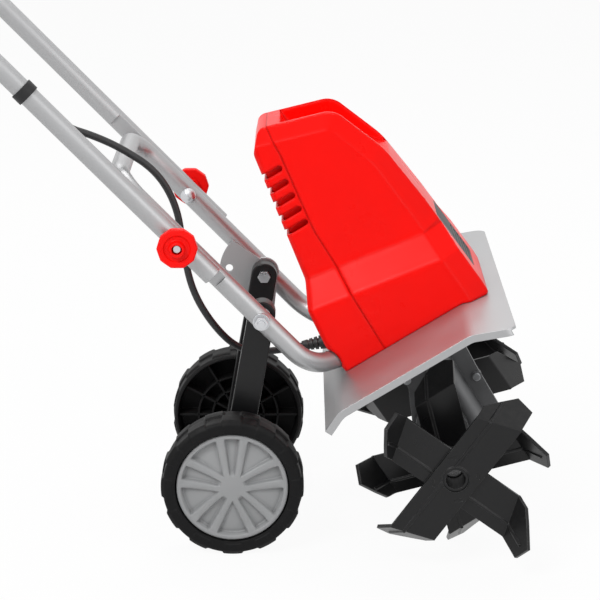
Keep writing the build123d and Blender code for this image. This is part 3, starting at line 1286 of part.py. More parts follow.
def gearcase():
    """The cast gearcase as one block with its hollows."""
    tine = (TINE_U, -SHAFT_DROP)
    axis = Pos(MOTOR_U, 0, 0)
    case = axis * Pos(0, 0, GEARCASE_TOP_N - CASE_FLANGE_T) * Cylinder(FLANGE_R, CASE_FLANGE_T, align=RISING)
    foot = -SHAFT_DROP - CASE_FOOT
    case += axis * Pos(0, 0, foot) * Cylinder(CASE_NECK_R, GEARCASE_TOP_N - 1 - foot, align=RISING)
    cone_n = GEARCASE_TOP_N - CASE_FLANGE_T + 1 - CASE_CONE
    case += axis * Pos(0, 0, cone_n) * Cone(CASE_NECK_R, CASE_CONE_R, CASE_CONE, align=RISING)
    case += round_bar(CASE_DRUM_R, -CASE_DRUM_HALF, CASE_DRUM_HALF, *tine)
    seat_end = SHAFT_BEARING_Y + SHAFT_BEARING_T + SEAL_T
    case += round_bar(SHAFT_BEARING_R + CASE_WALL, -seat_end, seat_end, *tine)
    web = outline(
        [(-32, -5), (-34, -80), (-62, -140), (-50, -172), (24, -182), (44, -172), (46, -100), (52, -5)],
        [4, 20, 20, 20, 16, 8, 40, 4],
    )
    case += slab(web, -CASE_WEB_HALF, CASE_WEB_HALF)
    for u, n in GEARCASE_JOINTS:
        case += round_bar(CASE_BOSS_R, -CASE_BOSS_HALF, CASE_BOSS_HALF, u, n)
    case &= Pos(0, 0, GEARCASE_TOP_N - THROUGH / 2) * Box(THROUGH, THROUGH, THROUGH)
    case -= axis * Pos(0, 0, -SHAFT_DROP - WORM_WELL) * Cylinder(WORM_WELL_R, THROUGH, align=RISING)
    foot_seat = Cylinder(FOOT_BEARING_R + FIT / 2, 2 * FOOT_BEARING_T + 1, align=RISING)
    case -= axis * Pos(0, 0, FOOT_BEARING_N - FOOT_BEARING_T / 2 - FIT) * foot_seat
    case -= round_bar(GEAR_WELL_R, -GEAR_WELL_HALF, GEAR_WELL_HALF, *tine)
    case -= round_bar(TINE_SHAFT_R + RUNNING, -THROUGH, THROUGH, *tine)
    bearing_end = SHAFT_BEARING_Y + SHAFT_BEARING_T
    for low, high, radius in (
        (SHAFT_BEARING_Y, bearing_end, SHAFT_BEARING_R + FIT / 2),
        (bearing_end, bearing_end + 2 * SEAL_T, SEAL_R + FIT / 2),
    ):
        case -= round_bar(radius, low, high, *tine)
        case -= round_bar(radius, -high, -low, *tine)
    for place in flange_screw_places():
        case -= axis * place * Cylinder(SCREW_R + FIT, THROUGH)
    for u, n in GEARCASE_JOINTS:
        case -= round_bar(SCREW_R + FIT, -SHAFT_BEARING_Y, SHAFT_BEARING_Y, u, n)
    return case


def gearcase_halves():
    """The gearcase split along the middle of the machine."""
    case = gearcase()
    half = Pos(0, THROUGH / 2, 0) * Box(THROUGH, THROUGH, THROUGH)
    left = case & half
    right = case & mirror(half, about=Plane.XZ)
    return DECK * left, DECK * right


def bearing(outer, inner, depth):
    """Ball bearing, drawn as its two rings and shield."""
    body = Cylinder(outer, depth) - Cylinder(inner, 3 * depth)
    groove = Cylinder(outer - RACE, depth) - Cylinder(inner + RACE, 3 * depth)
    for side in (-1, 1):
        body -= Pos(0, 0, side * (depth - SHIELD_SINK)) * groove
    return body


def ball_bearings():
    """Bearings of the motor shaft (frame, end cap and gearcase foot) and of the tine shaft."""
    pieces = []
    for n in (FLANGE_T + FIT + BEARING_T / 2, TOP_BEARING_N):
        pieces.append(DECK * Pos(MOTOR_U, 0, n) * bearing(BEARING_R, SHAFT_R + FIT / 2, BEARING_T))
    foot = bearing(FOOT_BEARING_R, SHAFT_R + FIT / 2, FOOT_BEARING_T)
    pieces.append(DECK * Pos(MOTOR_U, 0, FOOT_BEARING_N) * foot)
    large = bearing(SHAFT_BEARING_R, TINE_SHAFT_R + FIT / 2, SHAFT_BEARING_T)
    middle = SHAFT_BEARING_Y + SHAFT_BEARING_T / 2
    place = Pos(TINE_AXIS.X, middle, TINE_AXIS.Z) * Rot(90, 0, 0)
    return solid_of(*pieces, *both_sides(place * large))


def shaft_seals():
    """Lip seals outside the bearings."""
    low = SHAFT_BEARING_Y + SHAFT_BEARING_T
    seal = ring(SEAL_R, TINE_SHAFT_R + RUNNING, low, low + SEAL_T, TINE_AXIS.X, TINE_AXIS.Z)
    return solid_of(*both_sides(seal))


def motor_end_cap():
    """Cap on the motor frame with the upper bearing's seat."""
    cap = Pos(0, 0, MOTOR_TOP_N + FIT) * Cylinder(MOTOR_FRAME_R, END_CAP_H, align=RISING)
    cone_n = MOTOR_TOP_N + END_CAP_H - MOTOR_FRAME_WALL - 1
    cap += Pos(0, 0, cone_n) * Cone(END_CONE_R, END_CONE_TOP_R, END_CONE_H, align=RISING)
    cap -= Pos(0, 0, MOTOR_TOP_N - 1) * Cylinder(MOTOR_BORE_R, END_CAP_H - 2, align=RISING)
    seat_n = TOP_BEARING_N - BEARING_T / 2 - SNUG
    cap -= Pos(0, 0, seat_n) * Cylinder(BEARING_R + FIT / 2, 1.5 * BEARING_T, align=RISING)
    cap -= Cylinder(SHAFT_R + SHAFT_CLEAR, THROUGH)
    window = Pos(END_WINDOW_AT, 0, MOTOR_TOP_N + END_CAP_H) * Box(9, 16, 20)
    for index in range(4):
        cap -= Rot(0, 0, 45 + 90 * index) * window
    return DECK * Pos(MOTOR_U, 0, 0) * cap


def stator_core():
    """Laminated ring with two poles."""
    face = Circle(MOTOR_BORE_R - FIT) - Circle(YOKE_R)
    pole = Rectangle(POLE_WIDTH, YOKE_R - STATOR_BORE_R + 2)
    for side in (-1, 1):
        face += Pos(0, side * (YOKE_R + STATOR_BORE_R) / 2) * pole
        shoe = Circle(SHOE_R) - Circle(STATOR_BORE_R)
        face += shoe & Pos(0, side * SHOE_R) * Rectangle(SHOE_WIDTH, SHOE_R + 10)
    face -= Circle(STATOR_BORE_R)
    core = Pos(0, 0, STACK_LOW_N) * extrude(face, STACK_HIGH_N - STACK_LOW_N)
    return DECK * Pos(MOTOR_U, 0, 0) * core


def field_coils():
    """Wound coils round the two poles."""
    coils = []
    height = STACK_HIGH_N - STACK_LOW_N
    for side in (-1, 1):
        place = Pos(0, side * COIL_AT, STACK_LOW_N + height / 2)
        block = place * Box(COIL_WIDTH, COIL_T, height + 2 * COIL_END)
        block -= place * Box(POLE_WIDTH + 2 * COIL_ROOM, 4 * COIL_T, height + 2 * COIL_ROOM)
        block &= Cylinder(YOKE_R - COIL_ROOM, THROUGH)
        coils.append(DECK * Pos(MOTOR_U, 0, 0) * block)
    return solid_of(*coils)


def brush_holders():
    """Carbon brushes in their boxes, one each side of the commutator."""
    n = STACK_HIGH_N + WINDING_H + 1 + COMMUTATOR_H / 2
    low = COMMUTATOR_R + BRUSH_OUT
    holders = []
    for side in (-1, 1):
        box = Pos(0, side * (low + HOLDER_LENGTH / 2), n) * Box(10, HOLDER_LENGTH, 12)
        brush = Pos(0, side * (low - BRUSH_OUT / 2 + BRUSH_GAP), n) * Box(6, BRUSH_OUT, 8)
        holders.append(DECK * Pos(MOTOR_U, 0, 0) * (box + brush))
    return solid_of(*holders)


def gland_frame():
    """Frame of the cable gland: Z along the lead, out of the cover."""
    dip = math.radians(GLAND_DIP)
    return Plane(
        origin=(GLAND_X, GLAND_Y, GLAND_Z),
        x_dir=(0, 1, 0),
        z_dir=(-math.cos(dip), 0, -math.sin(dip)),
    ).location


def cable_gland():
    """Tapered strain relief where the lead leaves the rear cover."""
    reach = GLAND_LENGTH - GLAND_SEAT
    body = Pos(0, 0, -2 * GLAND_SEAT) * Cylinder(GLAND_R, 3 * GLAND_SEAT, align=RISING)
    body += Pos(0, 0, GLAND_SEAT) * Cone(GLAND_HEAD_R, GLAND_TIP_R, reach, align=RISING)
    for index in range(GLAND_NOTCHES):
        notch = Cylinder(2 * GLAND_HEAD_R, GLAND_NOTCH, align=RISING)
        body -= Pos(0, 0, GLAND_NOTCH_START + index * GLAND_NOTCH_PITCH) * notch
    body += Pos(0, 0, GLAND_SEAT) * Cylinder(GLAND_CORE_R, reach, align=RISING)
    return gland_frame() * body


def lead_offset():
    """Middle of the clipped lead from the middle of the machine."""
    return UPPER_TUBE_Y - TUBE_R - LEAD_D / 2 - 0.2


def bend_radii(points):
    """Largest arcs that the runs beside each corner allow."""
    radii = []
    for before, corner, after in zip(points, points[1:], points[2:]):
        first = Vector(*corner) - Vector(*before)
        second = Vector(*after) - Vector(*corner)
        half_turn = math.radians(first.get_angle(second)) / 2
        radii.append(0.45 * min(first.length, second.length) / math.tan(half_turn))
    return radii


def motor_lead():
    """Free stretch of the lead, in a loop behind the machine."""
    start = gland_frame() * Pos(0, 0, GLAND_LENGTH + 0.05)
    meet = HANDLE.from_local_coords(Vector(LEAD_CLIP_RUN, -lead_offset(), 0))
    leave = start * Pos(0, 0, LEAD_TAIL)
    lead_in = HANDLE.from_local_coords(Vector(LEAD_CLIP_RUN - LEAD_TAIL, -lead_offset(), 0))
    points = [tuple(start.position), tuple(leave.position), *LEAD_POINTS, tuple(lead_in), tuple(meet)]
    path = FilletPolyline(*points, radius=bend_radii(points))
    return swept(path, LEAD_D / 2)


def clipped_path():
    """The lead along the right upper tube to the switch box, in the handle's frame."""
    y = -lead_offset()
    return Line((LEAD_CLIP_RUN + 0.1, y, 0), (BOX_LOW_S - 0.1, y, 0))


def handle_lead():
    """Clipped stretch of the lead."""
    return HANDLE * swept(clipped_path(), LEAD_D / 2)


def cable_clips():
    """Clips that hold the lead to the right upper tube."""
    clips = []
    for run in CLIP_RUNS:
        tube = Pos(run, -UPPER_TUBE_Y, 0) * Rot(0, 90, 0)
        lead = Pos(run, -lead_offset(), 0) * Rot(0, 90, 0)
        clip = tube * Cylinder(TUBE_R + 2, 12) + lead * Cylinder(LEAD_D / 2 + 2, 12)
        clip -= tube * Cylinder(TUBE_R + SNUG, 40)
        clip -= lead * Cylinder(LEAD_D / 2 + SNUG, 40)
        clips.append(HANDLE * clip)
    return solid_of(*clips)


def foam_grip():
    """Foam sleeve on the grip bar."""
    sleeve = ring(TUBE_R + GRIP_FOAM, TUBE_R + SNUG, -GRIP_HALF, GRIP_HALF)
    edges = [edge for edge in sleeve.edges().filter_by(GeomType.CIRCLE) if edge.radius > TUBE_R + 1]
    return grip_frame() * fillet(edges, 3)


def switch_box():
    """Two halves of the switch box, clamped round the right upper tube."""
    corners = [
        (BOX_LOW_S, BOX_TOP_T),
        (BOX_HIGH_S, BOX_TOP_T),
        (BOX_HIGH_S, BOX_FOOT_T),
        (BOX_LOW_S, BOX_FOOT_T),
    ]
    block = slab(outline(corners, [9, 16, 12, 9]), -BOX_OUTER_Y, -BOX_INNER_Y)
    ends = block.edges().group_by(Axis.Y)
    block = fillet(ends[0] + ends[-1], BOX_EDGE_R)
    block -= Pos(0, -UPPER_TUBE_Y, 0) * Rot(0, 90, 0) * Cylinder(TUBE_R + SNUG, 4 * THROUGH)
    bay_foot = -TUBE_R - BAY_FLOOR
    bay_top = BOX_TOP_T + BOX_WALL
    bay = Box(
        BOX_HIGH_S - BOX_LOW_S - 2 * BOX_WALL,
        BOX_OUTER_Y - BOX_INNER_Y - 2 * BOX_WALL,
        bay_foot - bay_top,
    )
    bay_y = -(BOX_OUTER_Y + BOX_INNER_Y) / 2
    block -= Pos((BOX_LOW_S + BOX_HIGH_S) / 2, bay_y, (bay_top + bay_foot) / 2) * bay
    block -= round_bar(BAIL_R + BAIL_ROOM, -BAIL_PIN_Y - BAIL_END, 0, BAIL_S, BAIL_T)
    block -= Pos(BUTTON_S, -UPPER_TUBE_Y, BOX_TOP_T) * Cylinder(BUTTON_R + BUTTON_ROOM, 4 * BOX_WALL)
    split = Pos(0, -UPPER_TUBE_Y - THROUGH, 0) * Box(4 * THROUGH, 2 * THROUGH, THROUGH)
    outer = block & Pos(0, -BOX_SEAM / 2, 0) * split
    inner = block - Pos(0, BOX_SEAM / 2, 0) * split
    return HANDLE * outer, HANDLE * inner


def switch_block():
    """Switch inside the box, below the button."""
    low_t = -TUBE_R - BAY_FLOOR - FIT
    block = Box(SWITCH_LENGTH, SWITCH_WIDTH, SWITCH_H)
    return HANDLE * Pos(SWITCH_S, -UPPER_TUBE_Y, low_t - SWITCH_H / 2) * block


def safety_button():
    """Button that has to be pressed before the lever, held in by a flange."""
    depth = BUTTON_STAND + BOX_WALL
    cap = Cylinder(BUTTON_R, depth, align=RISING)
    cap = fillet(cap.edges().group_by(Axis.Z)[0], BUTTON_EDGE_R)
    flange_n = depth + BUTTON_ROOM
    cap += Pos(0, 0, flange_n) * Cylinder(BUTTON_R + BUTTON_FLANGE, BUTTON_FLANGE, align=RISING)
    cap += Pos(0, 0, depth / 2) * Cylinder(BUTTON_R - BUTTON_FLANGE, depth / 2 + 1, align=RISING)
    return HANDLE * Pos(BUTTON_S, -UPPER_TUBE_Y, BOX_TOP_T - BUTTON_STAND) * cap


def power_inlet():
    """Recessed inlet with two pins for an extension lead."""
    body = Cylinder(INLET_R, INLET_DEPTH, align=RISING)
    body -= Pos(0, 0, INLET_FLOOR) * Cylinder(INLET_R - BOX_WALL, INLET_DEPTH, align=RISING)
    for side in (-1, 1):
        body += Pos(side * PRONG_AT, 0, INLET_FLOOR - 1) * Cylinder(PRONG_R, PRONG_LENGTH, align=RISING)
    return HANDLE * Pos(INLET_S, -UPPER_TUBE_Y, BOX_FOOT_T + FIT) * body


def switch_lever():
    """Bail of round wire across the handle, squeezed to the grip bar to start."""
    rest = math.radians(BAIL_LIFT)
    end_s = BAIL_S + BAIL_REACH * math.cos(rest)
    end_t = BAIL_T + BAIL_REACH * math.sin(rest)
    half = [(BAIL_S, BAIL_PIN_Y, BAIL_T), (BAIL_S, BAIL_Y, BAIL_T), (end_s, BAIL_Y, end_t)]
    points = [(s, -y, t) for s, y, t in half] + list(reversed(half))
    radii = [BAIL_ELBOW_R, BAIL_CORNER_R]
    path = FilletPolyline(*points, radius=radii + list(reversed(radii)))
    return HANDLE * swept(path, BAIL_R)


def lever_bracket():
    """Clip on the left upper tube that holds the other end of the bail."""
    foot = TUBE_R + BOX_WALL
    top = BAIL_T - BRACKET_R
    corners = [
        (BAIL_S - BRACKET_HALF, top),
        (BAIL_S + BRACKET_HALF, top),
        (BAIL_S + BRACKET_HALF + 2, foot),
        (BAIL_S - BRACKET_HALF - 2, foot),
    ]
    block = slab(outline(corners, [8, 8, 6, 6]), BAIL_PIN_Y - BRACKET_IN, UPPER_TUBE_Y + foot)
    block -= Pos(0, UPPER_TUBE_Y, 0) * Rot(0, 90, 0) * Cylinder(TUBE_R + SNUG, 4 * THROUGH)
    block -= round_bar(BAIL_R + BAIL_ROOM, 0, BAIL_PIN_Y + BAIL_END, BAIL_S, BAIL_T)
    return HANDLE * block


def deck():
    """The deck with its bolt and screw holes."""
    sheet = DECK * deck_sheet()
    for bolt in deck_bolt_places():
        sheet -= bolt * Cylinder(BOLT_R + BOLT_ROOM, 40)
    for place in flange_screw_places():
        sheet -= DECK * Pos(MOTOR_U, 0, 0) * place * Cylinder(SCREW_R + FIT, 40)
    return sheet


rear, front = covers()
left_case, right_case = gearcase_halves()
box_outer, box_inner = switch_box()
nodes = {
    "deck": deck(),
    "rear_cover": DECK * rear,
    "front_cover": DECK * front,
    "front_grille": DECK * front_grille(),
    "cover_screws": DECK * cover_screws(),
    "lower_handle": lower_handle(),
    "deck_bolts": deck_bolts(),
    "handle_bolts": handle_bolts(),
    "pivot_bolts": pivot_bolts(),
    "pivot_nuts": pivot_nuts(),
    "lock_plate": lock_plate(),
    "motor_frame": motor_frame(),
    "motor_end_cap": motor_end_cap(),
    "stator_core": stator_core(),
    "field_coils": field_coils(),
    "brush_holders": brush_holders(),
    "ball_bearings": ball_bearings(),
    "gearcase_left": left_case,
    "gearcase_right": right_case,
    "gearcase_screws": gearcase_screws(),
    "shaft_seals": shaft_seals(),
    "cable_gland": cable_gland(),
    "motor_lead": motor_lead(),
    "motor_shaft": motor_shaft(),
    "armature_core": armature_core(),
    "commutator": commutator(),
    "cooling_fan": cooling_fan(),
    "tine_shaft": tine_shaft(),
    "worm_wheel": worm_wheel(),
    "tine_hubs": tine_hubs(),
    "hub_pins": hub_pins(),
    "left_outer_tine": tine_star(OUTER_TINE_Y, LEFT_OUTER_ANGLE, 1),
    "left_inner_tine": tine_star(INNER_TINE_Y, LEFT_INNER_ANGLE, 1),
    "right_inner_tine": tine_star(INNER_TINE_Y, RIGHT_INNER_ANGLE, -1),
    "right_outer_tine": tine_star(OUTER_TINE_Y, RIGHT_OUTER_ANGLE, -1),
    "left_leg": leg(1),
    "right_leg": leg(-1),
    "wheel_axle": wheel_axle(),
    "axle_nuts": axle_nuts(),
    "lock_sleeve": lock_sleeve(),
    "lock_spring": lock_spring(),
    "lock_pin": lock_pin(),
    "pull_ring": pull_ring(),
    "left_wheel": wheel(1),
    "right_wheel": wheel(-1),
    "left_hub_cap": hub_cap(1),
    "right_hub_cap": hub_cap(-1),
    "upper_handle": upper_handle(),
    "foam_grip": foam_grip(),
    "switch_box_outer": box_outer,
    "switch_box_inner": box_inner,
    "switch_block": switch_block(),
    "power_inlet": power_inlet(),
    "cable_clips": cable_clips(),
    "lever_bracket": lever_bracket(),
    "handle_lead": handle_lead(),
    "left_knob": knob(1),
    "right_knob": knob(-1),
    "switch_lever": switch_lever(),
    "safety_button": safety_button(),
}

os.makedirs("parts", exist_ok=True)
for name, part in nodes.items():
    export_step(Pos(-ORIGIN_X, 0, 0) * part, f"parts/{name}.step")
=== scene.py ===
# %% [markdown]
# An electric tiller in Blender
#
# The machine is a small garden tiller: a red motor housing on a bent silver deck, four stars of black
# blades under it, two wheels behind on a swinging arm, and a tube handle that folds at two red knobs.
# Most of the hard pieces come from the CAD model and keep their shape. This lesson makes the lead, the foam
# grip, the hub caps, the wheels, the clamp knobs and a box that puts shade behind the vents, gives every
# piece its finish, and sets up the studio.

import json
import math

import bmesh
import bpy
from mathutils import Matrix, Vector


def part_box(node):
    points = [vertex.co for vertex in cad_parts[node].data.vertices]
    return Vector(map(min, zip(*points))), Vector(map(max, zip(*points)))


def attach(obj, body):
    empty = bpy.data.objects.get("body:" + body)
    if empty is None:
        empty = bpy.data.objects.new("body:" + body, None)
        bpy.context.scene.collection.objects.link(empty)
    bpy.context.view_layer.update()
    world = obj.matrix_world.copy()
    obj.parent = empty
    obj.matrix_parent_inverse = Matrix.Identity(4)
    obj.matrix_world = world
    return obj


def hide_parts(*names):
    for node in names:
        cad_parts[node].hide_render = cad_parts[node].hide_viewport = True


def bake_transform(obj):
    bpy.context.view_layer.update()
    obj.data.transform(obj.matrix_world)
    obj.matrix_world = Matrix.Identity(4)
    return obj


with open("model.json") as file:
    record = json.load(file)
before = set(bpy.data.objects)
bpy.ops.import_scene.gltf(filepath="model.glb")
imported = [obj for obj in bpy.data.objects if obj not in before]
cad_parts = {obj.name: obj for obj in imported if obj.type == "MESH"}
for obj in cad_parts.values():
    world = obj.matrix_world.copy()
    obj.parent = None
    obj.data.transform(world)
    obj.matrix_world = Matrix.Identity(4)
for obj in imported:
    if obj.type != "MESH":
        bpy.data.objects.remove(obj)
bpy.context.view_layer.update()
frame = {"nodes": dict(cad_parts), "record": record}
scene = bpy.context.scene
scene.view_settings.view_transform = "Standard"

# %% [markdown]
# The camera
#
# The photograph is a product picture: a long lens, level from side to side, looking down a little, with the
# handle running out of the frame. A camera could be moved about by eye until it fits. Here its place was
# worked out once from known points of the machine, so the lens and the two points below are enough.

# %% Stand the camera where the photographer stood
FRAME_PIXELS = 600
FOCAL_PIXELS = 2127
SENSOR_MM = 36
CAMERA_PLACE = Vector((0.25352, -2.328, 0.939))
CAMERA_AIM = Vector((0.25352, 0, 0.2543))

lens = bpy.data.cameras.new("photo_camera")
lens.sensor_width = SENSOR_MM
lens.lens = FOCAL_PIXELS / FRAME_PIXELS * SENSOR_MM
camera = bpy.data.objects.new("photo_camera", lens)
camera.location = CAMERA_PLACE
camera.rotation_euler = (CAMERA_AIM - CAMERA_PLACE).to_track_quat("-Z", "Y").to_euler()
scene.collection.objects.link(camera)
scene.camera = camera
print(f"lens {lens.lens:.1f} mm, {(CAMERA_AIM - CAMERA_PLACE).length:.2f} m from the aim")

# %% [markdown]
# The motor lead
#
# A black rubber lead leaves the gland under the rear of the red housing, hangs in a loop behind the deck,
# climbs to the right tube of the upper handle and is clipped along it up to the switch box. A tube could
# be modelled piece by piece, but a lead is one smooth line, so it starts as a NURBS spline whose control
# points are the bends of the route. The same spline with a round bevel gives the rubber jacket.

# %% The lead's route as one spline
LEAD_D = 0.008
LEAD_ROUTE = [
    (0.25621, -0.0300, 0.20902),
    (0.21709, -0.0300, 0.20070),
    (0.18352, -0.0390, 0.20800),
    (0.15552, -0.0500, 0.24000),
    (0.13252, -0.0550, 0.28300),
    (0.12452, -0.0590, 0.33300),
    (0.11852, -0.0630, 0.38100),
    (0.09752, -0.0690, 0.42100),
    (0.06152, -0.0790, 0.44800),
    (0.03152, -0.0910, 0.46500),
    (0.00293, -0.1048, 0.47724),
    (-0.02497, -0.1048, 0.50590),
    (-0.29976, -0.1048, 0.78813),
]
LINE_STEPS = 16

line = bpy.data.curves.new("lead_line", "CURVE")
line.dimensions = "3D"
line.resolution_u = LINE_STEPS
spline = line.splines.new("NURBS")
spline.points.add(len(LEAD_ROUTE) - 1)
for point, place in zip(spline.points, LEAD_ROUTE):
    point.co = (*place, 1)
spline.order_u = 3
spline.use_endpoint_u = True
line_object = bpy.data.objects.new("lead_line", line)
lead_path = [vert.co.copy() for vert in bpy.data.meshes.new_from_object(line_object).vertices]

# %% The jacket round the line
JACKET_STEPS = 6

line.bevel_depth = LEAD_D / 2
line.bevel_resolution = JACKET_STEPS
line.use_fill_caps = True
lead = bpy.data.objects.new("motor_lead_cord", bpy.data.meshes.new_from_object(line_object))
lead.data.shade_smooth()
scene.collection.objects.link(lead)
bpy.data.objects.remove(line_object)
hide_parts("motor_lead", "handle_lead")
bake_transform(lead)
print(len(lead.data.polygons), "faces on the lead")

# %% [markdown]
# The foam grip
#
# The cross bar at the top of the handle carries a sleeve of soft black foam, pushed on over the tube. It is
# a little full in the middle and its cut ends are rounded by the knife. A profile turned about the bar with
# the spin operator gives exactly that, so only the profile of one end has to be drawn; a mirror makes the
# other half.

# %% Turn the sleeve about the bar
GRIP_CENTRE = Vector((-0.51335, 0, 0.91635))
GRIP_HALF = 0.070
GRIP_R = 0.015
BAR_R = 0.0111
GRIP_ROUND = 0.0022
TURN_STEPS = 64
WELD = 1e-6
END_PROFILE = [
    (0, BAR_R),
    (0, GRIP_R - 2 * GRIP_ROUND),
    (0.2 * GRIP_ROUND, GRIP_R - 1.25 * GRIP_ROUND),
    (0.7 * GRIP_ROUND, GRIP_R - 0.65 * GRIP_ROUND),
    (1.7 * GRIP_ROUND, GRIP_R - 0.30 * GRIP_ROUND),
    (0.25 * GRIP_HALF, GRIP_R - 0.12 * GRIP_ROUND),
    (0.60 * GRIP_HALF, GRIP_R),
    (GRIP_HALF, GRIP_R),
]


def turned(shape, profile, centre, steps):
    """Spin a profile of (distance from the end, radius) about a bar that runs along Y."""
    points = [shape.verts.new(centre + Vector((r, run - GRIP_HALF, 0))) for run, r in profile]
    edges = [shape.edges.new(pair) for pair in zip(points, points[1:])]
    bmesh.ops.spin(
        shape, geom=points + edges, cent=centre, axis=(0, 1, 0), angle=2 * math.pi, steps=steps,
        use_merge=True,
    )


sleeve = bmesh.new()
turned(sleeve, END_PROFILE, GRIP_CENTRE, TURN_STEPS)
half = list(sleeve.verts) + list(sleeve.edges) + list(sleeve.faces)
to_middle = Matrix.Translation(-GRIP_CENTRE)
bmesh.ops.mirror(sleeve, geom=half, matrix=to_middle, merge_dist=WELD, axis="Y")
bmesh.ops.remove_doubles(sleeve, verts=sleeve.verts, dist=WELD)
ends = [edge for edge in sleeve.edges if edge.is_boundary]
bmesh.ops.bridge_loops(sleeve, edges=ends)
bmesh.ops.recalc_face_normals(sleeve, faces=sleeve.faces)
grip_mesh = bpy.data.meshes.new("foam_sleeve")
sleeve.to_mesh(grip_mesh)
sleeve.free()
grip_mesh.shade_smooth()
grip = bpy.data.objects.new("foam_sleeve", grip_mesh)
scene.collection.objects.link(grip)
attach(grip, "upper_handle")
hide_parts("foam_grip")
print(len(grip_mesh.polygons), "faces on the sleeve")

# %% [markdown]
# The hub caps
#
# Each wheel is closed by a grey moulded cap: ten spokes in five pairs run from a low dome to a raised rim,
# and the recesses between them are dished, deepest at the rim. Cutting the recesses out of a disc leaves
# flat floors and hard corners. Here a disc is spun from one radius as a fine round grid, and every point is
# then pushed up or down by how far it is from the nearest spoke, as a sculptor would do. The back gets
# a round recess, because the end of the axle stands in it.

# %% The cap's form in millimetres
CAP_R = 61.5
DOME_R = 13.0
POCKET_R = 56.4
RIM_EDGE = 57.8
PAIRS = 5
PAIR_TURNS = [math.radians(90 + 360 / PAIRS * pair) for pair in range(PAIRS)]
SPOKE_START = 3.8
SPOKE_LEAN = 0.17
SPOKE_HALF = 2.9
SPOKE_GROWTH = 1.7


def ease(low, high, value):
    """Smooth share of the way from low to high."""
    share = min(1, max(0, (value - low) / (high - low)))
    return share * share * (3 - 2 * share)


def spoke_gap(x, z, radius):
    """Distance to the nearest spoke's middle line, below zero inside a pair, and the spoke's half width."""
    gaps = []
    for turn in PAIR_TURNS:
        along = x * math.cos(turn) + z * math.sin(turn)
        across = abs(z * math.cos(turn) - x * math.sin(turn))
        if along > 0:
            gaps.append((across - SPOKE_START - SPOKE_LEAN * along) * math.cos(math.atan(SPOKE_LEAN)))
    nearest = min(gaps, key=abs, default=0)
    return nearest, SPOKE_HALF + SPOKE_GROWTH * (radius - DOME_R) / (POCKET_R - DOME_R)


print(f"{PAIRS} pairs of spokes, {2 * SPOKE_HALF:.1f} mm wide at the dome")

# %% The height of the cap's face in millimetres
CROWN_H = 9.3
CROWN_CURVE = 0.0028
DIP = 1.6  # spokes run lower than the dome
DIP_END_R = 38
LIFT = 0.7  # and rise again to the rim
LIFT_SPAN = (46, 56)
CAMBER = 0.9  # their tops are rounded across
CAMBER_FULL_R = 26
CAMBER_END_SPAN = (50, 56)
FLOOR_TOP = 7.0
FLOOR_FALL = 6.4
WIDE_FALL_POWER = 0.75  # recess between two pairs
NARROW_FALL_POWER = 0.45  # recess inside a pair
SPOKE_WALL = (-0.2, 1.9)  # slopes of a recess, as offsets from the line that each follows
DOME_WALL = (-1, 5)
RIM_WALL = (-1.4, 0.4)
RIM_START = 0.2
RIM_H = 8.4
RIM_DROP = 0.6
RIM_DROP_RUN = 0.9


def cap_height(x, z):
    """Height of the cap's face over its back."""
    radius = math.hypot(x, z)
    signed_gap, half = spoke_gap(x, z, radius)
    gap = abs(signed_gap)
    crown = CROWN_H - CROWN_CURVE * min(radius, DOME_R) ** 2
    crown -= DIP * ease(DOME_R, DIP_END_R, radius) - LIFT * ease(*LIFT_SPAN, radius)
    camber = CAMBER * min(1, gap / half) ** 2
    crown -= camber * ease(DOME_R, CAMBER_FULL_R, radius) * (1 - ease(*CAMBER_END_SPAN, radius))
    floor_share = max(0, radius - DOME_R) / (POCKET_R - DOME_R)
    fall_power = WIDE_FALL_POWER if signed_gap > 0 else NARROW_FALL_POWER
    pocket_floor = FLOOR_TOP - FLOOR_FALL * min(1, floor_share) ** fall_power
    inside = ease(half + SPOKE_WALL[0], half + SPOKE_WALL[1], gap)
    inside *= ease(DOME_R + DOME_WALL[0], DOME_R + DOME_WALL[1], radius)
    inside *= 1 - ease(POCKET_R + RIM_WALL[0], POCKET_R + RIM_WALL[1], radius)
    face = crown - inside * (crown - pocket_floor)
    rim = ease(POCKET_R + RIM_START, RIM_EDGE, radius)
    rim -= RIM_DROP * ease(CAP_R - RIM_DROP_RUN, CAP_R, radius)
    return face + rim * max(0, RIM_H - crown) - max(0, -rim)


recess_height = cap_height(0, (DOME_R + POCKET_R) / 2)
print(f"cap height {cap_height(0, 0):.1f} mm at the dome, {recess_height:.1f} mm in a recess")

# %% Helpers for round pieces on the wheels and the handle
MM = 0.001
SEAM_WELD = 1e-4


def full_spin(shape, outline, steps, sectors):
    """Spin an outline about Y: one sector in small steps, then copies of it, welded at the seams."""
    older = set(shape.verts).difference(outline)
    sector_turn = 2 * math.pi / sectors
    about = dict(cent=(0, 0, 0), axis=(0, 1, 0))
    bmesh.ops.spin(shape, geom=outline, angle=sector_turn, steps=steps // sectors, **about)
    sector = [vert for vert in shape.verts if vert not in older]
    fresh = set(sector)
    sector += [edge for edge in shape.edges if fresh.issuperset(edge.verts)]
    sector += [face for face in shape.faces if fresh.issuperset(face.verts)]
    rest_turn = 2 * math.pi - sector_turn
    bmesh.ops.spin(shape, geom=sector, angle=rest_turn, steps=sectors - 1, use_duplicate=True, **about)
    bmesh.ops.remove_doubles(shape, verts=shape.verts, dist=SEAM_WELD)


def seat_of(node, side):
    """The middle of a node's inner face; side is -1 on the machine's near side and 1 on its far side."""
    low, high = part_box(node)
    return Vector(((low[0] + high[0]) / 2, low[1] if side > 0 else high[1], (low[2] + high[2]) / 2))


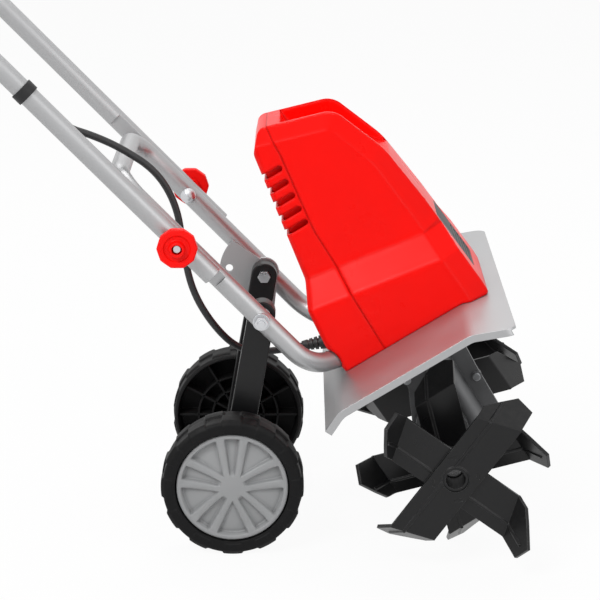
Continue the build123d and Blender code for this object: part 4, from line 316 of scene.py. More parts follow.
def settle(shape, name, seat, sharp_turn=math.pi):
    """Make a shape drawn in millimetres a piece in its place, sharp where it turns more than sharp_turn."""
    bmesh.ops.recalc_face_normals(shape, faces=shape.faces)
    if shape.calc_volume(signed=True) < 0:
        bmesh.ops.reverse_faces(shape, faces=shape.faces)
    bmesh.ops.scale(shape, vec=(MM, MM, MM), verts=shape.verts)
    bmesh.ops.translate(shape, vec=seat, verts=shape.verts)
    mesh = bpy.data.meshes.new(name)
    shape.to_mesh(mesh)
    shape.free()
    mesh.shade_smooth()
    mesh.set_sharp_from_angle(angle=sharp_turn)
    piece = bpy.data.objects.new(name, mesh)
    scene.collection.objects.link(piece)
    return piece


print("near wheel at", [round(value, 3) for value in seat_of("right_wheel", -1)])

# %% Spin the disc and push its points
CAP_RINGS = 52
CAP_STEPS = 360
AXLE_ROOM_R = 13.0
AXLE_ROOM = 4.5
CAP_BACK = [(CAP_R, 0), (AXLE_ROOM_R, 0), (AXLE_ROOM_R, AXLE_ROOM)]
SIDES = {"right": -1, "left": 1}


def hub_cap(hand):
    """One sculpted cap in the place of its CAD node."""
    disc = bmesh.new()
    radii = [CAP_R * ring / CAP_RINGS for ring in range(CAP_RINGS + 1)]
    spoke_line = [disc.verts.new((radius, 0, 0)) for radius in radii]
    line_edges = [disc.edges.new(pair) for pair in zip(spoke_line, spoke_line[1:])]
    full_spin(disc, spoke_line + line_edges, CAP_STEPS, PAIRS)
    for vert in disc.verts:
        vert.co.y = SIDES[hand] * cap_height(vert.co.x, vert.co.z)
    for radius, height in CAP_BACK:
        outer = [edge for edge in disc.edges if edge.is_boundary]
        skirt = bmesh.ops.extrude_edge_only(disc, edges=outer)["geom"]
        for vert in [item for item in skirt if isinstance(item, bmesh.types.BMVert)]:
            outward = Vector((vert.co.x, 0, vert.co.z)).normalized() * radius
            vert.co = (outward.x, SIDES[hand] * height, outward.z)
    bmesh.ops.holes_fill(disc, edges=[edge for edge in disc.edges if edge.is_boundary], sides=0)
    node = hand + "_hub_cap"
    cap = settle(disc, node + "_spoked", seat_of(node, SIDES[hand]))
    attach(cap, hand + "_wheel")
    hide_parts(node)
    return cap


caps = [hub_cap(hand) for hand in SIDES]
print([len(cap.data.polygons) for cap in caps], "faces on the caps")

# %% [markdown]
# The wheels
#
# Each wheel is one hollow black moulding: a thin tyre with two rows of low lugs, a disc near its outer side
# and ribs behind the disc. A low pad runs from every outer lug down the side. Cutting each groove would
# leave hard steps; here the whole section is spun at once, and the points under the lugs and pads are
# pushed out.

# %% An outline with round corners
ARC_STEPS = 6


def rounded(corners):
    """Points of a closed outline given as (radius, height, corner round), its corners drawn as arcs."""
    places = [Vector((radius, height)) for radius, height, _ in corners]
    points = []
    for index, (here, (_, _, corner_round)) in enumerate(zip(places, corners)):
        back = (places[index - 1] - here).normalized()
        ahead = (places[(index + 1) % len(places)] - here).normalized()
        half_turn = back.angle(ahead) / 2
        centre = here + (back + ahead).normalized() * corner_round / math.sin(half_turn)
        first = here + back * corner_round / math.tan(half_turn) - centre
        last = here + ahead * corner_round / math.tan(half_turn) - centre
        shares = [step / ARC_STEPS for step in range(ARC_STEPS if corner_round else 0)]
        points += [centre + first.slerp(last, share).normalized() * corner_round for share in shares]
        points.append(centre + last)
    return points


def add_ring(shape, corners, steps, sectors):
    """Add a closed ring, turned about Y from an outline with round corners, to a shape."""
    section = [shape.verts.new((*place, 0)) for place in rounded(corners)]
    section_edges = [shape.edges.new(pair) for pair in zip(section, section[1:] + section[:1])]
    full_spin(shape, section + section_edges, steps, sectors)


print(ARC_STEPS, "steps round a corner")

# %% The wheel's section in millimetres
SIDE_HEIGHT = 42.2
TREAD_R = 77.0
TREAD_ROUND = 4.4
DISC_INNER = 27.0
DISC_OUTER = 31.0
HUB_R = 15.0
HUB_LOW = 0.5
AXLE_BORE_R = 6.6
TYRE_INNER_R = 70.6
TYRE_LIP_R = 72.4
TYRE_LOW = 0.3
RECESS_R = 63.2
RECESS_FLOOR_R = 62.8
# Rings of points on the two straight stretches, close together where a lug or a pad begins
TREAD_HEIGHTS = (5.2, 6.2, 7.2, 13.0, 19.4, 20.2, 21.0, 21.8, 22.6, 30.0, 36.5)
SIDE_RADII = (69.0, 66.8, 66.4, 66.0, 65.6, 65.2, 64.4)
WHEEL_CORNERS = [
    (AXLE_BORE_R, HUB_LOW, 0),
    (HUB_R, HUB_LOW, 0.8),
    (HUB_R, DISC_INNER, 1.5),
    (TYRE_INNER_R, DISC_INNER, 2.5),
    (TYRE_LIP_R, TYRE_LOW, 0.6),
    (TREAD_R, TYRE_LOW, TREAD_ROUND),
    *[(TREAD_R, height, 0) for height in TREAD_HEIGHTS],
    (TREAD_R, SIDE_HEIGHT, TREAD_ROUND),
    *[(radius, SIDE_HEIGHT, 0) for radius in SIDE_RADII],
    (RECESS_R, SIDE_HEIGHT, 0.5),
    (RECESS_FLOOR_R, DISC_OUTER, 0.5),
    (AXLE_BORE_R, DISC_OUTER, 0),
]
print(len(rounded(WHEEL_CORNERS)), "points on the wheel's section")

# %% Lugs on the tread and pads on the side
WHEEL_STEPS = 600
LUGS = 12
LUG_PITCH = 360 / LUGS
LUG_TOP_R = 78.97
LUG_HALF_TURN = 8.2
LUG_SLOPE_TURN = 0.9
TREAD_EDGE = 1.5
ROW_EDGE = 1.0
OUTER_ROW = 21.0
INNER_ROW = 6.2
PAD_START_R = 65.2
PAD_EDGE = 1.2
PAD_HEIGHT = 0.9
PAD_DEPTH = 4


def on_lug(x, z, first_turn):
    """One on a lug of a row, zero in the grooves, by the turn about the axle."""
    turn = (math.degrees(math.atan2(z, x)) - first_turn) % LUG_PITCH
    off_lug = min(turn, LUG_PITCH - turn)
    return 1 - ease(LUG_HALF_TURN - LUG_SLOPE_TURN, LUG_HALF_TURN + LUG_SLOPE_TURN, off_lug)


def tread_point(x, height, z):
    """A point of the plain spun wheel moved to where the lugs and pads put it."""
    radius = math.hypot(x, z)
    in_outer_row = ease(OUTER_ROW - ROW_EDGE, OUTER_ROW + ROW_EDGE, height)
    in_inner_row = ease(INNER_ROW - ROW_EDGE, INNER_ROW + ROW_EDGE, height) * (1 - in_outer_row)
    lug = on_lug(x, z, 0) * in_outer_row + on_lug(x, z, LUG_PITCH / 2) * in_inner_row
    on_tread = ease(TREAD_R - TREAD_EDGE, TREAD_R, radius)
    grown = 1 + (LUG_TOP_R / TREAD_R - 1) * on_tread * lug
    on_side = ease(PAD_START_R, PAD_START_R + PAD_EDGE, radius)
    on_side *= ease(SIDE_HEIGHT - PAD_DEPTH, SIDE_HEIGHT, height)
    return x * grown, height + PAD_HEIGHT * on_side * on_lug(x, z, 0), z * grown


print(f"lug {LUG_TOP_R - TREAD_R:.2f} mm high")

# %% Ribs behind the disc
RIB_T = 2.4
RIB_LOW = 7.0
RIB_ROUND = 0.5
RIB_RINGS = (32.0, 49.0)
RIB_STEPS = 120
RIB_END_R = 71.3
RIB_SINK = 1


def add_ribs(wheel):
    """Straight ribs from the hub to the tyre and two round ones, added to a wheel's mesh."""
    rib_start = HUB_R - RIB_SINK
    rib_top = DISC_INNER + RIB_SINK
    rib_size = Matrix.Diagonal((RIB_END_R - rib_start, rib_top - RIB_LOW, RIB_T, 1))
    rib_place = Matrix.Translation(((RIB_END_R + rib_start) / 2, (rib_top + RIB_LOW) / 2, 0))
    for rib in range(LUGS):
        turn = Matrix.Rotation(math.radians(rib * LUG_PITCH), 4, "Y")
        bmesh.ops.create_cube(wheel, size=1, matrix=turn @ rib_place @ rib_size)
    for radius in RIB_RINGS:
        rib_corners = [
            (radius - RIB_T, RIB_LOW, RIB_ROUND),
            (radius, RIB_LOW, RIB_ROUND),
            (radius, rib_top, 0),
            (radius - RIB_T, rib_top, 0),
        ]
        add_ring(wheel, rib_corners, RIB_STEPS, LUGS)


print(LUGS, "straight ribs and", len(RIB_RINGS), "round ones")

# %% Spin the wheels
TYRE_SHARP_TURN = math.radians(50)


def moulded_wheel(hand):
    """One wheel in the place of its CAD node."""
    wheel = bmesh.new()
    add_ring(wheel, WHEEL_CORNERS, WHEEL_STEPS, LUGS)
    for vert in wheel.verts:
        vert.co = tread_point(*vert.co)
    add_ribs(wheel)
    bmesh.ops.scale(wheel, vec=(1, SIDES[hand], 1), verts=wheel.verts)
    node = hand + "_wheel"
    piece = settle(wheel, node + "_moulded", seat_of(node, SIDES[hand]), sharp_turn=TYRE_SHARP_TURN)
    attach(piece, node)
    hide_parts(node)
    return piece


wheels = [moulded_wheel(hand) for hand in SIDES]
print([len(wheel.data.polygons) for wheel in wheels], "faces on the wheels")

# %% [markdown]
# The clamp knobs
#
# The handle is clamped by two red nylon knobs: a ten-sided rim to turn by hand, a dished face, and a boss in
# the middle whose bore shows the end of the bolt. A knob is nearly a turned part, so its section is spun,
# and the rim's points are then drawn in from the round to the flats of a ten-sided shape.

# %% The knob's section and its flats in millimetres
KNOB_CORNERS = [
    (4.4, 0.0, 0),
    (11.0, 0.0, 0.4),
    (11.0, 7.1, 0.8),
    (22.0, 7.1, 2.0),
    (22.0, 18.0, 2.2),
    (14.8, 17.1, 0.9),
    (13.8, 15.6, 0.8),
    (9.0, 15.6, 1.8),
    (8.1, 23.0, 1.4),
    (5.6, 23.0, 0.7),
    (5.6, 10.0, 0.3),
    (4.4, 9.8, 0),
]
KNOB_STEPS = 160
KNOB_FLATS = 10
FLATS_START_R = 13.0
FLATS_FULL_R = 19.5
FLAT_SHARE = 0.85


def flat_share(x, z):
    """Share of its radius that a rim point keeps when the round is drawn in to flats."""
    pitch = 2 * math.pi / KNOB_FLATS
    off_middle = math.atan2(z, x) % pitch - pitch / 2
    polygon = math.cos(pitch / 2) / math.cos(off_middle)
    return 1 - FLAT_SHARE * (1 - polygon) * ease(FLATS_START_R, FLATS_FULL_R, math.hypot(x, z))


print(len(rounded(KNOB_CORNERS)), "points on the knob's section")


# %% Turn the knobs
def clamp_knob(hand):
    """One knob in the place of its CAD node."""
    body = bmesh.new()
    add_ring(body, KNOB_CORNERS, KNOB_STEPS, KNOB_FLATS)
    for vert in body.verts:
        share = flat_share(vert.co.x, vert.co.z)
        vert.co = (vert.co.x * share, vert.co.y * SIDES[hand], vert.co.z * share)
    node = hand + "_knob"
    knob = settle(body, node + "_turned", seat_of(node, SIDES[hand]))
    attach(knob, node)
    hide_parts(node)
    return knob


knobs = [clamp_knob(hand) for hand in SIDES]
print([len(knob.data.polygons) for knob in knobs], "faces on the knobs")

# %% [markdown]
# A box behind the vents, for shade
#
# Behind the rear vents sits a shallow red box, put there to give the slots their shade: through the slots it
# is all that can be seen, lit only by the light that comes in through them. It is a folded sheet, open to the
# rear: four points of its plan, joined and extruded up along the rear wall, rounded at the folds, then given
# a wall thickness.

# %% Fold the box that shades the vents
DECK_ORIGIN = Vector((0.36552, 0, 0.235))
DECK_TILT = math.radians(31.8)
ALONG_DECK = Vector((math.cos(DECK_TILT), 0, math.sin(DECK_TILT)))
OFF_DECK = Vector((-math.sin(DECK_TILT), 0, math.cos(DECK_TILT)))
BOX_HALF = 0.046
BOX_LOW = 0.150
BOX_RISE = 0.088
BOX_LEAN = 0.0152
BOX_BACK = -0.0475
BOX_FRONT = -0.0130
BOX_WALL = 0.0015
FOLD_ROUND = 0.006
FOLD_STEPS = 4


def on_deck(along, across, up):
    """A place in the deck's own directions, as a point of the frame."""
    return DECK_ORIGIN + along * ALONG_DECK + Vector((0, across, 0)) + up * OFF_DECK


box_shape = bmesh.new()
plan = [(BOX_BACK, -BOX_HALF), (BOX_FRONT, -BOX_HALF), (BOX_FRONT, BOX_HALF), (BOX_BACK, BOX_HALF)]
corners = [box_shape.verts.new(on_deck(along, across, BOX_LOW)) for along, across in plan]
folds = [box_shape.edges.new(pair) for pair in zip(corners, corners[1:])]
raised = bmesh.ops.extrude_edge_only(box_shape, edges=folds)["geom"]
tops = [item for item in raised if isinstance(item, bmesh.types.BMVert)]
bmesh.ops.translate(box_shape, vec=BOX_LEAN * ALONG_DECK + BOX_RISE * OFF_DECK, verts=tops)
creases = [edge for edge in box_shape.edges if len(edge.link_faces) == 2]
bmesh.ops.bevel(
    box_shape, geom=creases, offset=FOLD_ROUND, offset_type="OFFSET", affect="EDGES", segments=FOLD_STEPS,
    profile=0.5, material=-1,
)
bmesh.ops.recalc_face_normals(box_shape, faces=box_shape.faces)
bmesh.ops.solidify(box_shape, geom=list(box_shape.faces), thickness=BOX_WALL)
box_mesh = bpy.data.meshes.new("vent_shade_box")
box_shape.to_mesh(box_mesh)
box_shape.free()
# the box is there to put shade behind the vent slots
vent_shade_box = bpy.data.objects.new("vent_shade_box", box_mesh)
scene.collection.objects.link(vent_shade_box)
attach(vent_shade_box, "chassis")
print(len(box_mesh.polygons), "faces on the air box")

# %% [markdown]
# Small tools for the finishes
#
# Every finish is a tree of shader nodes. Placing and joining nodes by hand takes a line each, and the same
# few effects come back on many pieces: the grain of a mould, a slow drift of tone, rubbed edges, a film
# of dust. Each effect is a node group with named sockets, so a finish says only how much of it there is.

# %% Place a node, feed it, start a group
def put(tree, kind, **values):
    """Place one shader node and set its own values."""
    node = tree.nodes.new("ShaderNode" + kind)
    for name, value in values.items():
        setattr(node, name, value)
    return node


def feed(node, **sockets):
    """Set plain values on a node's input sockets, named with _ for a space."""
    for name, value in sockets.items():
        node.inputs[name.replace("_", " ")].default_value = value
    return node


def new_group(name, inputs, outputs):
    """A node group with its own sockets, and its input and output nodes."""
    tree = bpy.data.node_groups.new(name, "ShaderNodeTree")
    for label, kind, value in inputs:
        socket = tree.interface.new_socket(label, in_out="INPUT", socket_type="NodeSocket" + kind)
        socket.default_value = value
    for label, kind in outputs:
        tree.interface.new_socket(label, in_out="OUTPUT", socket_type="NodeSocket" + kind)
    return tree, tree.nodes.new("NodeGroupInput"), tree.nodes.new("NodeGroupOutput")


def sized_place(tree, source, socket):
    """Object coordinates divided by a size in metres, so a pattern has real dimensions."""
    place = put(tree, "TexCoord")
    share = put(tree, "Math", operation="DIVIDE")
    share.inputs[0].default_value = 1
    tree.links.new(source.outputs[socket], share.inputs[1])
    scaled = put(tree, "VectorMath", operation="SCALE")
    tree.links.new(place.outputs["Object"], scaled.inputs["Vector"])
    tree.links.new(share.outputs[0], scaled.inputs["Scale"])
    return scaled.outputs["Vector"]


print("node tools ready")

# %% Multiply and mix
MIX_SOCKETS = {"FLOAT": (2, 3, 0), "RGBA": (6, 7, 2)}  # a Mix node's two inputs and its output, by kind


def link_or_set(tree, socket, value):
    """Join a socket to another one, or set it to a plain value."""
    if isinstance(value, bpy.types.NodeSocket):
        tree.links.new(value, socket)
    else:
        socket.default_value = value


def times(tree, a, b):
    """The product of two values, each a socket or a number."""
    node = put(tree, "Math", operation="MULTIPLY")
    for socket, value in zip(node.inputs, (a, b)):
        link_or_set(tree, socket, value)
    return node.outputs[0]


def mix(tree, kind, share, a, b):
    """A value or colour that goes from a to b by a share; each is a socket or plain."""
    node = put(tree, "Mix", data_type=kind)
    a_at, b_at, out_at = MIX_SOCKETS[kind]
    for at, value in ((0, share), (a_at, a), (b_at, b)):
        link_or_set(tree, node.inputs[at], value)
    return node.outputs[out_at]


print("mixes of", ", ".join(MIX_SOCKETS))

# %% [markdown]
# Mould grain
#
# Moulded plastic, sprayed paint, rubber and foam all have a skin of small soft bumps. Noise alone looks like
# clouds and cells alone look like pebbles; a mix of the two, at the size of the real grain, reads as
# a moulded skin. The group gives a height for a Bump node.

# %% Mould grain as a group
grain_tree, grain_in, grain_out = new_group(
    "mould_grain",
    [("Grain size", "Float", 0.001), ("Pebble share", "Float", 0.5)],
    [("Height", "Float")],
)
grain_place = sized_place(grain_tree, grain_in, "Grain size")
clouds = feed(put(grain_tree, "TexNoise"), Scale=1.0, Detail=3.0, Roughness=0.55)
pebbles = feed(put(grain_tree, "TexVoronoi", feature="SMOOTH_F1"), Scale=1.0, Smoothness=0.6)
grain_tree.links.new(grain_place, clouds.inputs["Vector"])
grain_tree.links.new(grain_place, pebbles.inputs["Vector"])
pebble_share = grain_in.outputs["Pebble share"]
skin_height = mix(grain_tree, "FLOAT", pebble_share, clouds.outputs[0], pebbles.outputs["Distance"])
grain_tree.links.new(skin_height, grain_out.inputs["Height"])
print("mould_grain:", len(grain_tree.nodes), "nodes")

# %% [markdown]
# Tone drift
#
# No real surface has one colour all over. Pigment, thickness and handling make it wander by a few percent
# over some centimetres, and the gloss wanders with it. The group takes the colour and hands back the colour
# moved up and down, with the same wander as a plain value for the roughness.

# %% Tone drift as a group
drift_tree, drift_in, drift_out = new_group(
    "tone_drift",
    [("Colour", "Color", (0.5, 0.5, 0.5, 1)), ("Drift", "Float", 0.08), ("Patch size", "Float", 0.06)],
    [("Colour", "Color"), ("Wander", "Float")],
)
drift_place = sized_place(drift_tree, drift_in, "Patch size")
wander = feed(put(drift_tree, "TexNoise"), Scale=1.0, Detail=5.0, Roughness=0.6)
drift_tree.links.new(drift_place, wander.inputs["Vector"])
around_one = put(drift_tree, "Math", operation="MULTIPLY_ADD")
centred = put(drift_tree, "Math", operation="SUBTRACT")
centred.inputs[1].default_value = 0.5
drift_tree.links.new(wander.outputs[0], centred.inputs[0])
drift_tree.links.new(centred.outputs[0], around_one.inputs[0])
drift_tree.links.new(times(drift_tree, drift_in.outputs["Drift"], 2), around_one.inputs[1])
around_one.inputs[2].default_value = 1
shaded = put(drift_tree, "VectorMath", operation="SCALE")
drift_tree.links.new(drift_in.outputs["Colour"], shaded.inputs["Vector"])
drift_tree.links.new(around_one.outputs[0], shaded.inputs["Scale"])
drift_tree.links.new(shaded.outputs["Vector"], drift_out.inputs["Colour"])
drift_tree.links.new(wander.outputs[0], drift_out.inputs["Wander"])
print("tone_drift:", len(drift_tree.nodes), "nodes")

# %% [markdown]
# Rubbed edges
#
# Edges are where hands, soil and the packing carton touch first, so paint thins and plastic polishes there.
# Painting a mask by hand would have to be done again for every piece. The Bevel node looks sideways along
# the surface for a corner; where its normal leaves the true one, an edge is near. Noise breaks the line up.

# %% Rubbed edges as a group
rub_tree, rub_in, rub_out = new_group(
    "rubbed_edge",
    [("Width", "Float", 0.0008), ("Amount", "Float", 0.5), ("Patch size", "Float", 0.012)],
    [("Mask", "Float")],
)
bent = put(rub_tree, "Bevel", samples=6)
flat = put(rub_tree, "NewGeometry")
alike = put(rub_tree, "VectorMath", operation="DOT_PRODUCT")
rub_tree.links.new(rub_in.outputs["Width"], bent.inputs["Radius"])
rub_tree.links.new(bent.outputs["Normal"], alike.inputs[0])
rub_tree.links.new(flat.outputs["Normal"], alike.inputs[1])
corner = put(rub_tree, "MapRange", interpolation_type="SMOOTHSTEP")
rub_tree.links.new(alike.outputs["Value"], corner.inputs["Value"])
feed(corner, From_Min=0.985, From_Max=0.86, To_Min=0.0, To_Max=1.0)
rub_noise = feed(put(rub_tree, "TexNoise"), Scale=1.0, Detail=4.0, Roughness=0.65)
rub_tree.links.new(sized_place(rub_tree, rub_in, "Patch size"), rub_noise.inputs["Vector"])
broken = feed(put(rub_tree, "MapRange"), From_Min=0.42, From_Max=0.62, To_Min=0.0, To_Max=1.0)
rub_tree.links.new(rub_noise.outputs[0], broken.inputs["Value"])
rubbed = times(rub_tree, corner.outputs["Result"], broken.outputs["Result"])
rub_tree.links.new(times(rub_tree, rubbed, rub_in.outputs["Amount"]), rub_out.inputs["Mask"])
print("rubbed_edge:", len(rub_tree.nodes), "nodes")

# %% [markdown]
# A film of dust
#
# Even a new machine picks up a little dust on whatever faces up. The film follows the normal's upward part,
# broken up by noise, and it is thin: it greys dark colours by a few percent.

# %% Dust as a group
dust_tree, dust_in, dust_out = new_group(
    "dust_film",
    [
        ("Colour", "Color", (0.1, 0.1, 0.1, 1)),
        ("Dust", "Color", (0.35, 0.33, 0.30, 1)),
        ("Amount", "Float", 0.1),
    ],
    [("Colour", "Color")],
)
lie = put(dust_tree, "NewGeometry")
upward = put(dust_tree, "SeparateXYZ")
dust_tree.links.new(lie.outputs["Normal"], upward.inputs[0])
settles = feed(put(dust_tree, "MapRange"), From_Min=0.1, From_Max=1.0, To_Min=0.15, To_Max=1.0)
dust_tree.links.new(upward.outputs["Z"], settles.inputs["Value"])
dust_spot = put(dust_tree, "TexCoord")
specks = feed(put(dust_tree, "TexNoise"), Scale=140.0, Detail=6.0, Roughness=0.7)
dust_tree.links.new(dust_spot.outputs["Object"], specks.inputs["Vector"])
thin = feed(put(dust_tree, "MapRange"), From_Min=0.40, From_Max=0.75, To_Min=0.0, To_Max=1.0)
dust_tree.links.new(specks.outputs[0], thin.inputs["Value"])
film = times(dust_tree, settles.outputs["Result"], thin.outputs["Result"])
cover = times(dust_tree, film, dust_in.outputs["Amount"])
dusted = mix(dust_tree, "RGBA", cover, dust_in.outputs["Colour"], dust_in.outputs["Dust"])
dust_tree.links.new(dusted, dust_out.inputs["Colour"])
print("dust_film:", len(dust_tree.nodes), "nodes")

# %% [markdown]
# Painted shade in the recesses
#
# Corners and recesses catch less light, which is what makes a shallow relief readable. This group paints that
# shade into the colour: the Ambient Occlusion node measures how closed in a point is within a short reach on
# its own piece, and the group darkens the colour there.

# %% Painted recess shade as a group
painted_shade_tree, recess_in, recess_out = new_group(
    "painted_recess_shade",
    [("Colour", "Color", (0.5, 0.5, 0.5, 1)), ("Reach", "Float", 0.005), ("Amount", "Float", 0.4)],
    [("Colour", "Color")],
)
# painted shade: the more closed in a point is, the darker its colour is painted
closed_in = put(painted_shade_tree, "AmbientOcclusion", samples=8, only_local=True)
painted_shade_tree.links.new(recess_in.outputs["Reach"], closed_in.inputs["Distance"])
hidden = put(painted_shade_tree, "Math", operation="SUBTRACT")
hidden.inputs[0].default_value = 1
painted_shade_tree.links.new(closed_in.outputs["AO"], hidden.inputs[1])
kept = put(painted_shade_tree, "Math", operation="SUBTRACT")
kept.inputs[0].default_value = 1
painted_shade_tree.links.new(times(painted_shade_tree, hidden.outputs[0], recess_in.outputs["Amount"]), kept.inputs[1])
darker = put(painted_shade_tree, "VectorMath", operation="SCALE")
painted_shade_tree.links.new(recess_in.outputs["Colour"], darker.inputs["Vector"])
painted_shade_tree.links.new(kept.outputs[0], darker.inputs["Scale"])
painted_shade_tree.links.new(darker.outputs["Vector"], recess_out.inputs["Colour"])
print("painted_recess_shade:", len(painted_shade_tree.nodes), "nodes")

# %% [markdown]
# Soft corners
#
# A moulded shell has no sharp corners: its faces run into each other over some millimetres, and the light
# slides across. Rounding every edge of the mesh would be a long job. The Bevel node bends only the normal
# near a corner, which is what the eye reads, and leaves the shape alone.

# %% Soft corners as a group
soft_tree, soft_in, soft_out = new_group(
    "soft_corner",
    [("Radius", "Float", 0.006)],
    [("Normal", "Vector")],
)
melted = put(soft_tree, "Bevel", samples=10)
soft_tree.links.new(soft_in.outputs["Radius"], melted.inputs["Radius"])
soft_tree.links.new(melted.outputs["Normal"], soft_out.inputs["Normal"])
print("soft_corner:", len(soft_tree.nodes), "nodes")

# %% [markdown]
# Tool lines
#
# Ground shafts and plated bolts keep the fine lines of the tool that made them. Noise stretched some twenty
# or thirty times longer one way than the other gives such lines. The group's Lay input is the stretch.

# %% Tool lines as a group
lines_tree, lines_in, lines_out = new_group(
    "tool_lines",
    [("Line size", "Float", 0.0005), ("Lay", "Vector", (1, 0.03, 1))],
    [("Height", "Float")],
)
stretched = put(lines_tree, "VectorMath", operation="MULTIPLY")
lines_tree.links.new(sized_place(lines_tree, lines_in, "Line size"), stretched.inputs[0])
lines_tree.links.new(lines_in.outputs["Lay"], stretched.inputs[1])
hairs = feed(put(lines_tree, "TexNoise"), Scale=1.0, Detail=4.0, Roughness=0.7)
lines_tree.links.new(stretched.outputs[0], hairs.inputs["Vector"])
lines_tree.links.new(hairs.outputs[0], lines_out.inputs["Height"])
print("tool_lines:", len(lines_tree.nodes), "nodes")

# %% [markdown]
# One way to build a finish
#
# A finish is always the same chain: a colour that drifts, darkened by painted shade in its recesses, rubbed
# lighter or darker on its edges, under a film of dust, into one Principled shader, with a bump from the grain
# or the tool lines. What makes paint paint and rubber rubber is how much of each there is, so the finishes
# below are short lists of amounts.

# %% The chain from colour to shader
def use(tree, group, **sockets):
    """Place a node group and set the inputs that are plain values."""
    return feed(put(tree, "Group", node_tree=group), **sockets)


def start_finish(name):
    """An empty material with its Principled shader."""
    material = bpy.data.materials.new(name)
    material.use_nodes = True
    tree = material.node_tree
    return material, tree, tree.nodes["Principled BSDF"]


def colour_chain(tree, shader, colour, drift, patch, bare, rub, rub_width, dust, recess):
    """Drift, painted shade in the recesses, rubbed edges and dust into Base Color; gives the drift's wander
    back.
    """
    drifted = use(tree, drift_tree, Colour=(*colour, 1), Drift=drift, Patch_size=patch)
    # painted shade: the colour is darkened where the piece is closed in, by the recess amount
    shade = use(tree, painted_shade_tree, Amount=recess)
    tree.links.new(drifted.outputs["Colour"], shade.inputs["Colour"])
    worn = use(tree, rub_tree, Width=rub_width, Amount=rub)
    edge = mix(tree, "RGBA", worn.outputs["Mask"], shade.outputs["Colour"], (*bare, 1))
    dusty = use(tree, dust_tree, Amount=dust)
    tree.links.new(edge, dusty.inputs["Colour"])
    tree.links.new(dusty.outputs["Colour"], shader.inputs["Base Color"])
    return drifted.outputs["Wander"]


def gloss_chain(tree, shader, wander, low, high):
    """Roughness that wanders between two values."""
    span = feed(put(tree, "MapRange"), From_Min=0.3, From_Max=0.7, To_Min=low, To_Max=high)
    tree.links.new(wander, span.inputs["Value"])
    tree.links.new(span.outputs["Result"], shader.inputs["Roughness"])


def bump_chain(tree, shader, height, depth, strength, corner):
    """A height over softened corners into the shader's normal; depth and corner are in metres."""
    bump = feed(put(tree, "Bump"), Strength=strength, Distance=depth)
    soft = use(tree, soft_tree, Radius=corner)
    tree.links.new(soft.outputs["Normal"], bump.inputs["Normal"])
    tree.links.new(height, bump.inputs["Height"])
    tree.links.new(bump.outputs["Normal"], shader.inputs["Normal"])


finishes = {}
print("finish chain ready")

# %% [markdown]
# Plastics
#
# The housing is red ABS from a polished mould: smooth, glossy, a hint of orange peel. The knobs are the same
# red in nylon, duller. The switch box, grille and clips are black plastic with a sparked grain, the wheels
# a rougher black polypropylene, and the hub caps a satin grey.

# %% Plastic finishes
# recess is how much painted shade darkens each colour in its recesses
PLASTICS = {
    "red_cover": dict(
        colour=(0.96, 0.004, 0.002), bare=(0.95, 0.03, 0.02), rough=(0.26, 0.34), grain=0.0030, pebble=0.1,
        depth=0.00006, strength=0.2, dust=0.0, rub=0.25, specular=0.11, corner=0.006, recess=0.12,
    ),
    "red_knob": dict(
        colour=(0.95, 0.005, 0.003), bare=(0.92, 0.05, 0.04), rough=(0.34, 0.46), grain=0.0012, pebble=0.4,
        depth=0.00006, strength=0.3, dust=0.0, rub=0.35, specular=0.14, corner=0.0012, recess=0.45,
    ),
    "black_plastic": dict(
        colour=(0.012, 0.012, 0.013), bare=(0.05, 0.05, 0.05), rough=(0.42, 0.58), grain=0.0007, pebble=0.6,
        depth=0.00008, strength=0.5, dust=0.03, rub=0.5, specular=0.35, corner=0.0010, recess=0.5,
    ),
    "wheel_black": dict(
        colour=(0.006, 0.006, 0.0064), bare=(0.045, 0.045, 0.046), rough=(0.46, 0.62), grain=0.0011,
        pebble=0.5, depth=0.00012, strength=0.5, dust=0.03, rub=0.5, specular=0.14, corner=0.0012, recess=0.5,
    ),
    "cap_grey": dict(
        colour=(0.30, 0.305, 0.31), bare=(0.42, 0.42, 0.42), rough=(0.36, 0.46), grain=0.0009, pebble=0.5,
        depth=0.00005, strength=0.35, dust=0.02, rub=0.4, specular=0.5, corner=0.0010, recess=0.85,
    ),
}
for slot, look in PLASTICS.items():
    material, tree, shader = start_finish(slot)
    wander_out = colour_chain(
        tree, shader, look["colour"], drift=0.05, patch=0.05, bare=look["bare"], rub=look["rub"],
        rub_width=0.0009, dust=look["dust"], recess=look["recess"],
    )
    gloss_chain(tree, shader, wander_out, *look["rough"])
    skin = use(tree, grain_tree, Grain_size=look["grain"], Pebble_share=look["pebble"])
    bump_chain(tree, shader, skin.outputs["Height"], look["depth"], look["strength"], look["corner"])
    feed(shader, Specular_IOR_Level=look["specular"])
    finishes[slot] = material
print("plastics:", ", ".join(PLASTICS))

# %% [markdown]
# Paints
#
# The deck and the handle tubes are powder coated in silver: a metallic paint with a slight orange peel that
# mirrors the red housing softly. The tines, their hubs and the wheel legs are black powder coat over steel,
# and their edges show a thin line of lighter steel where the coat is thin.

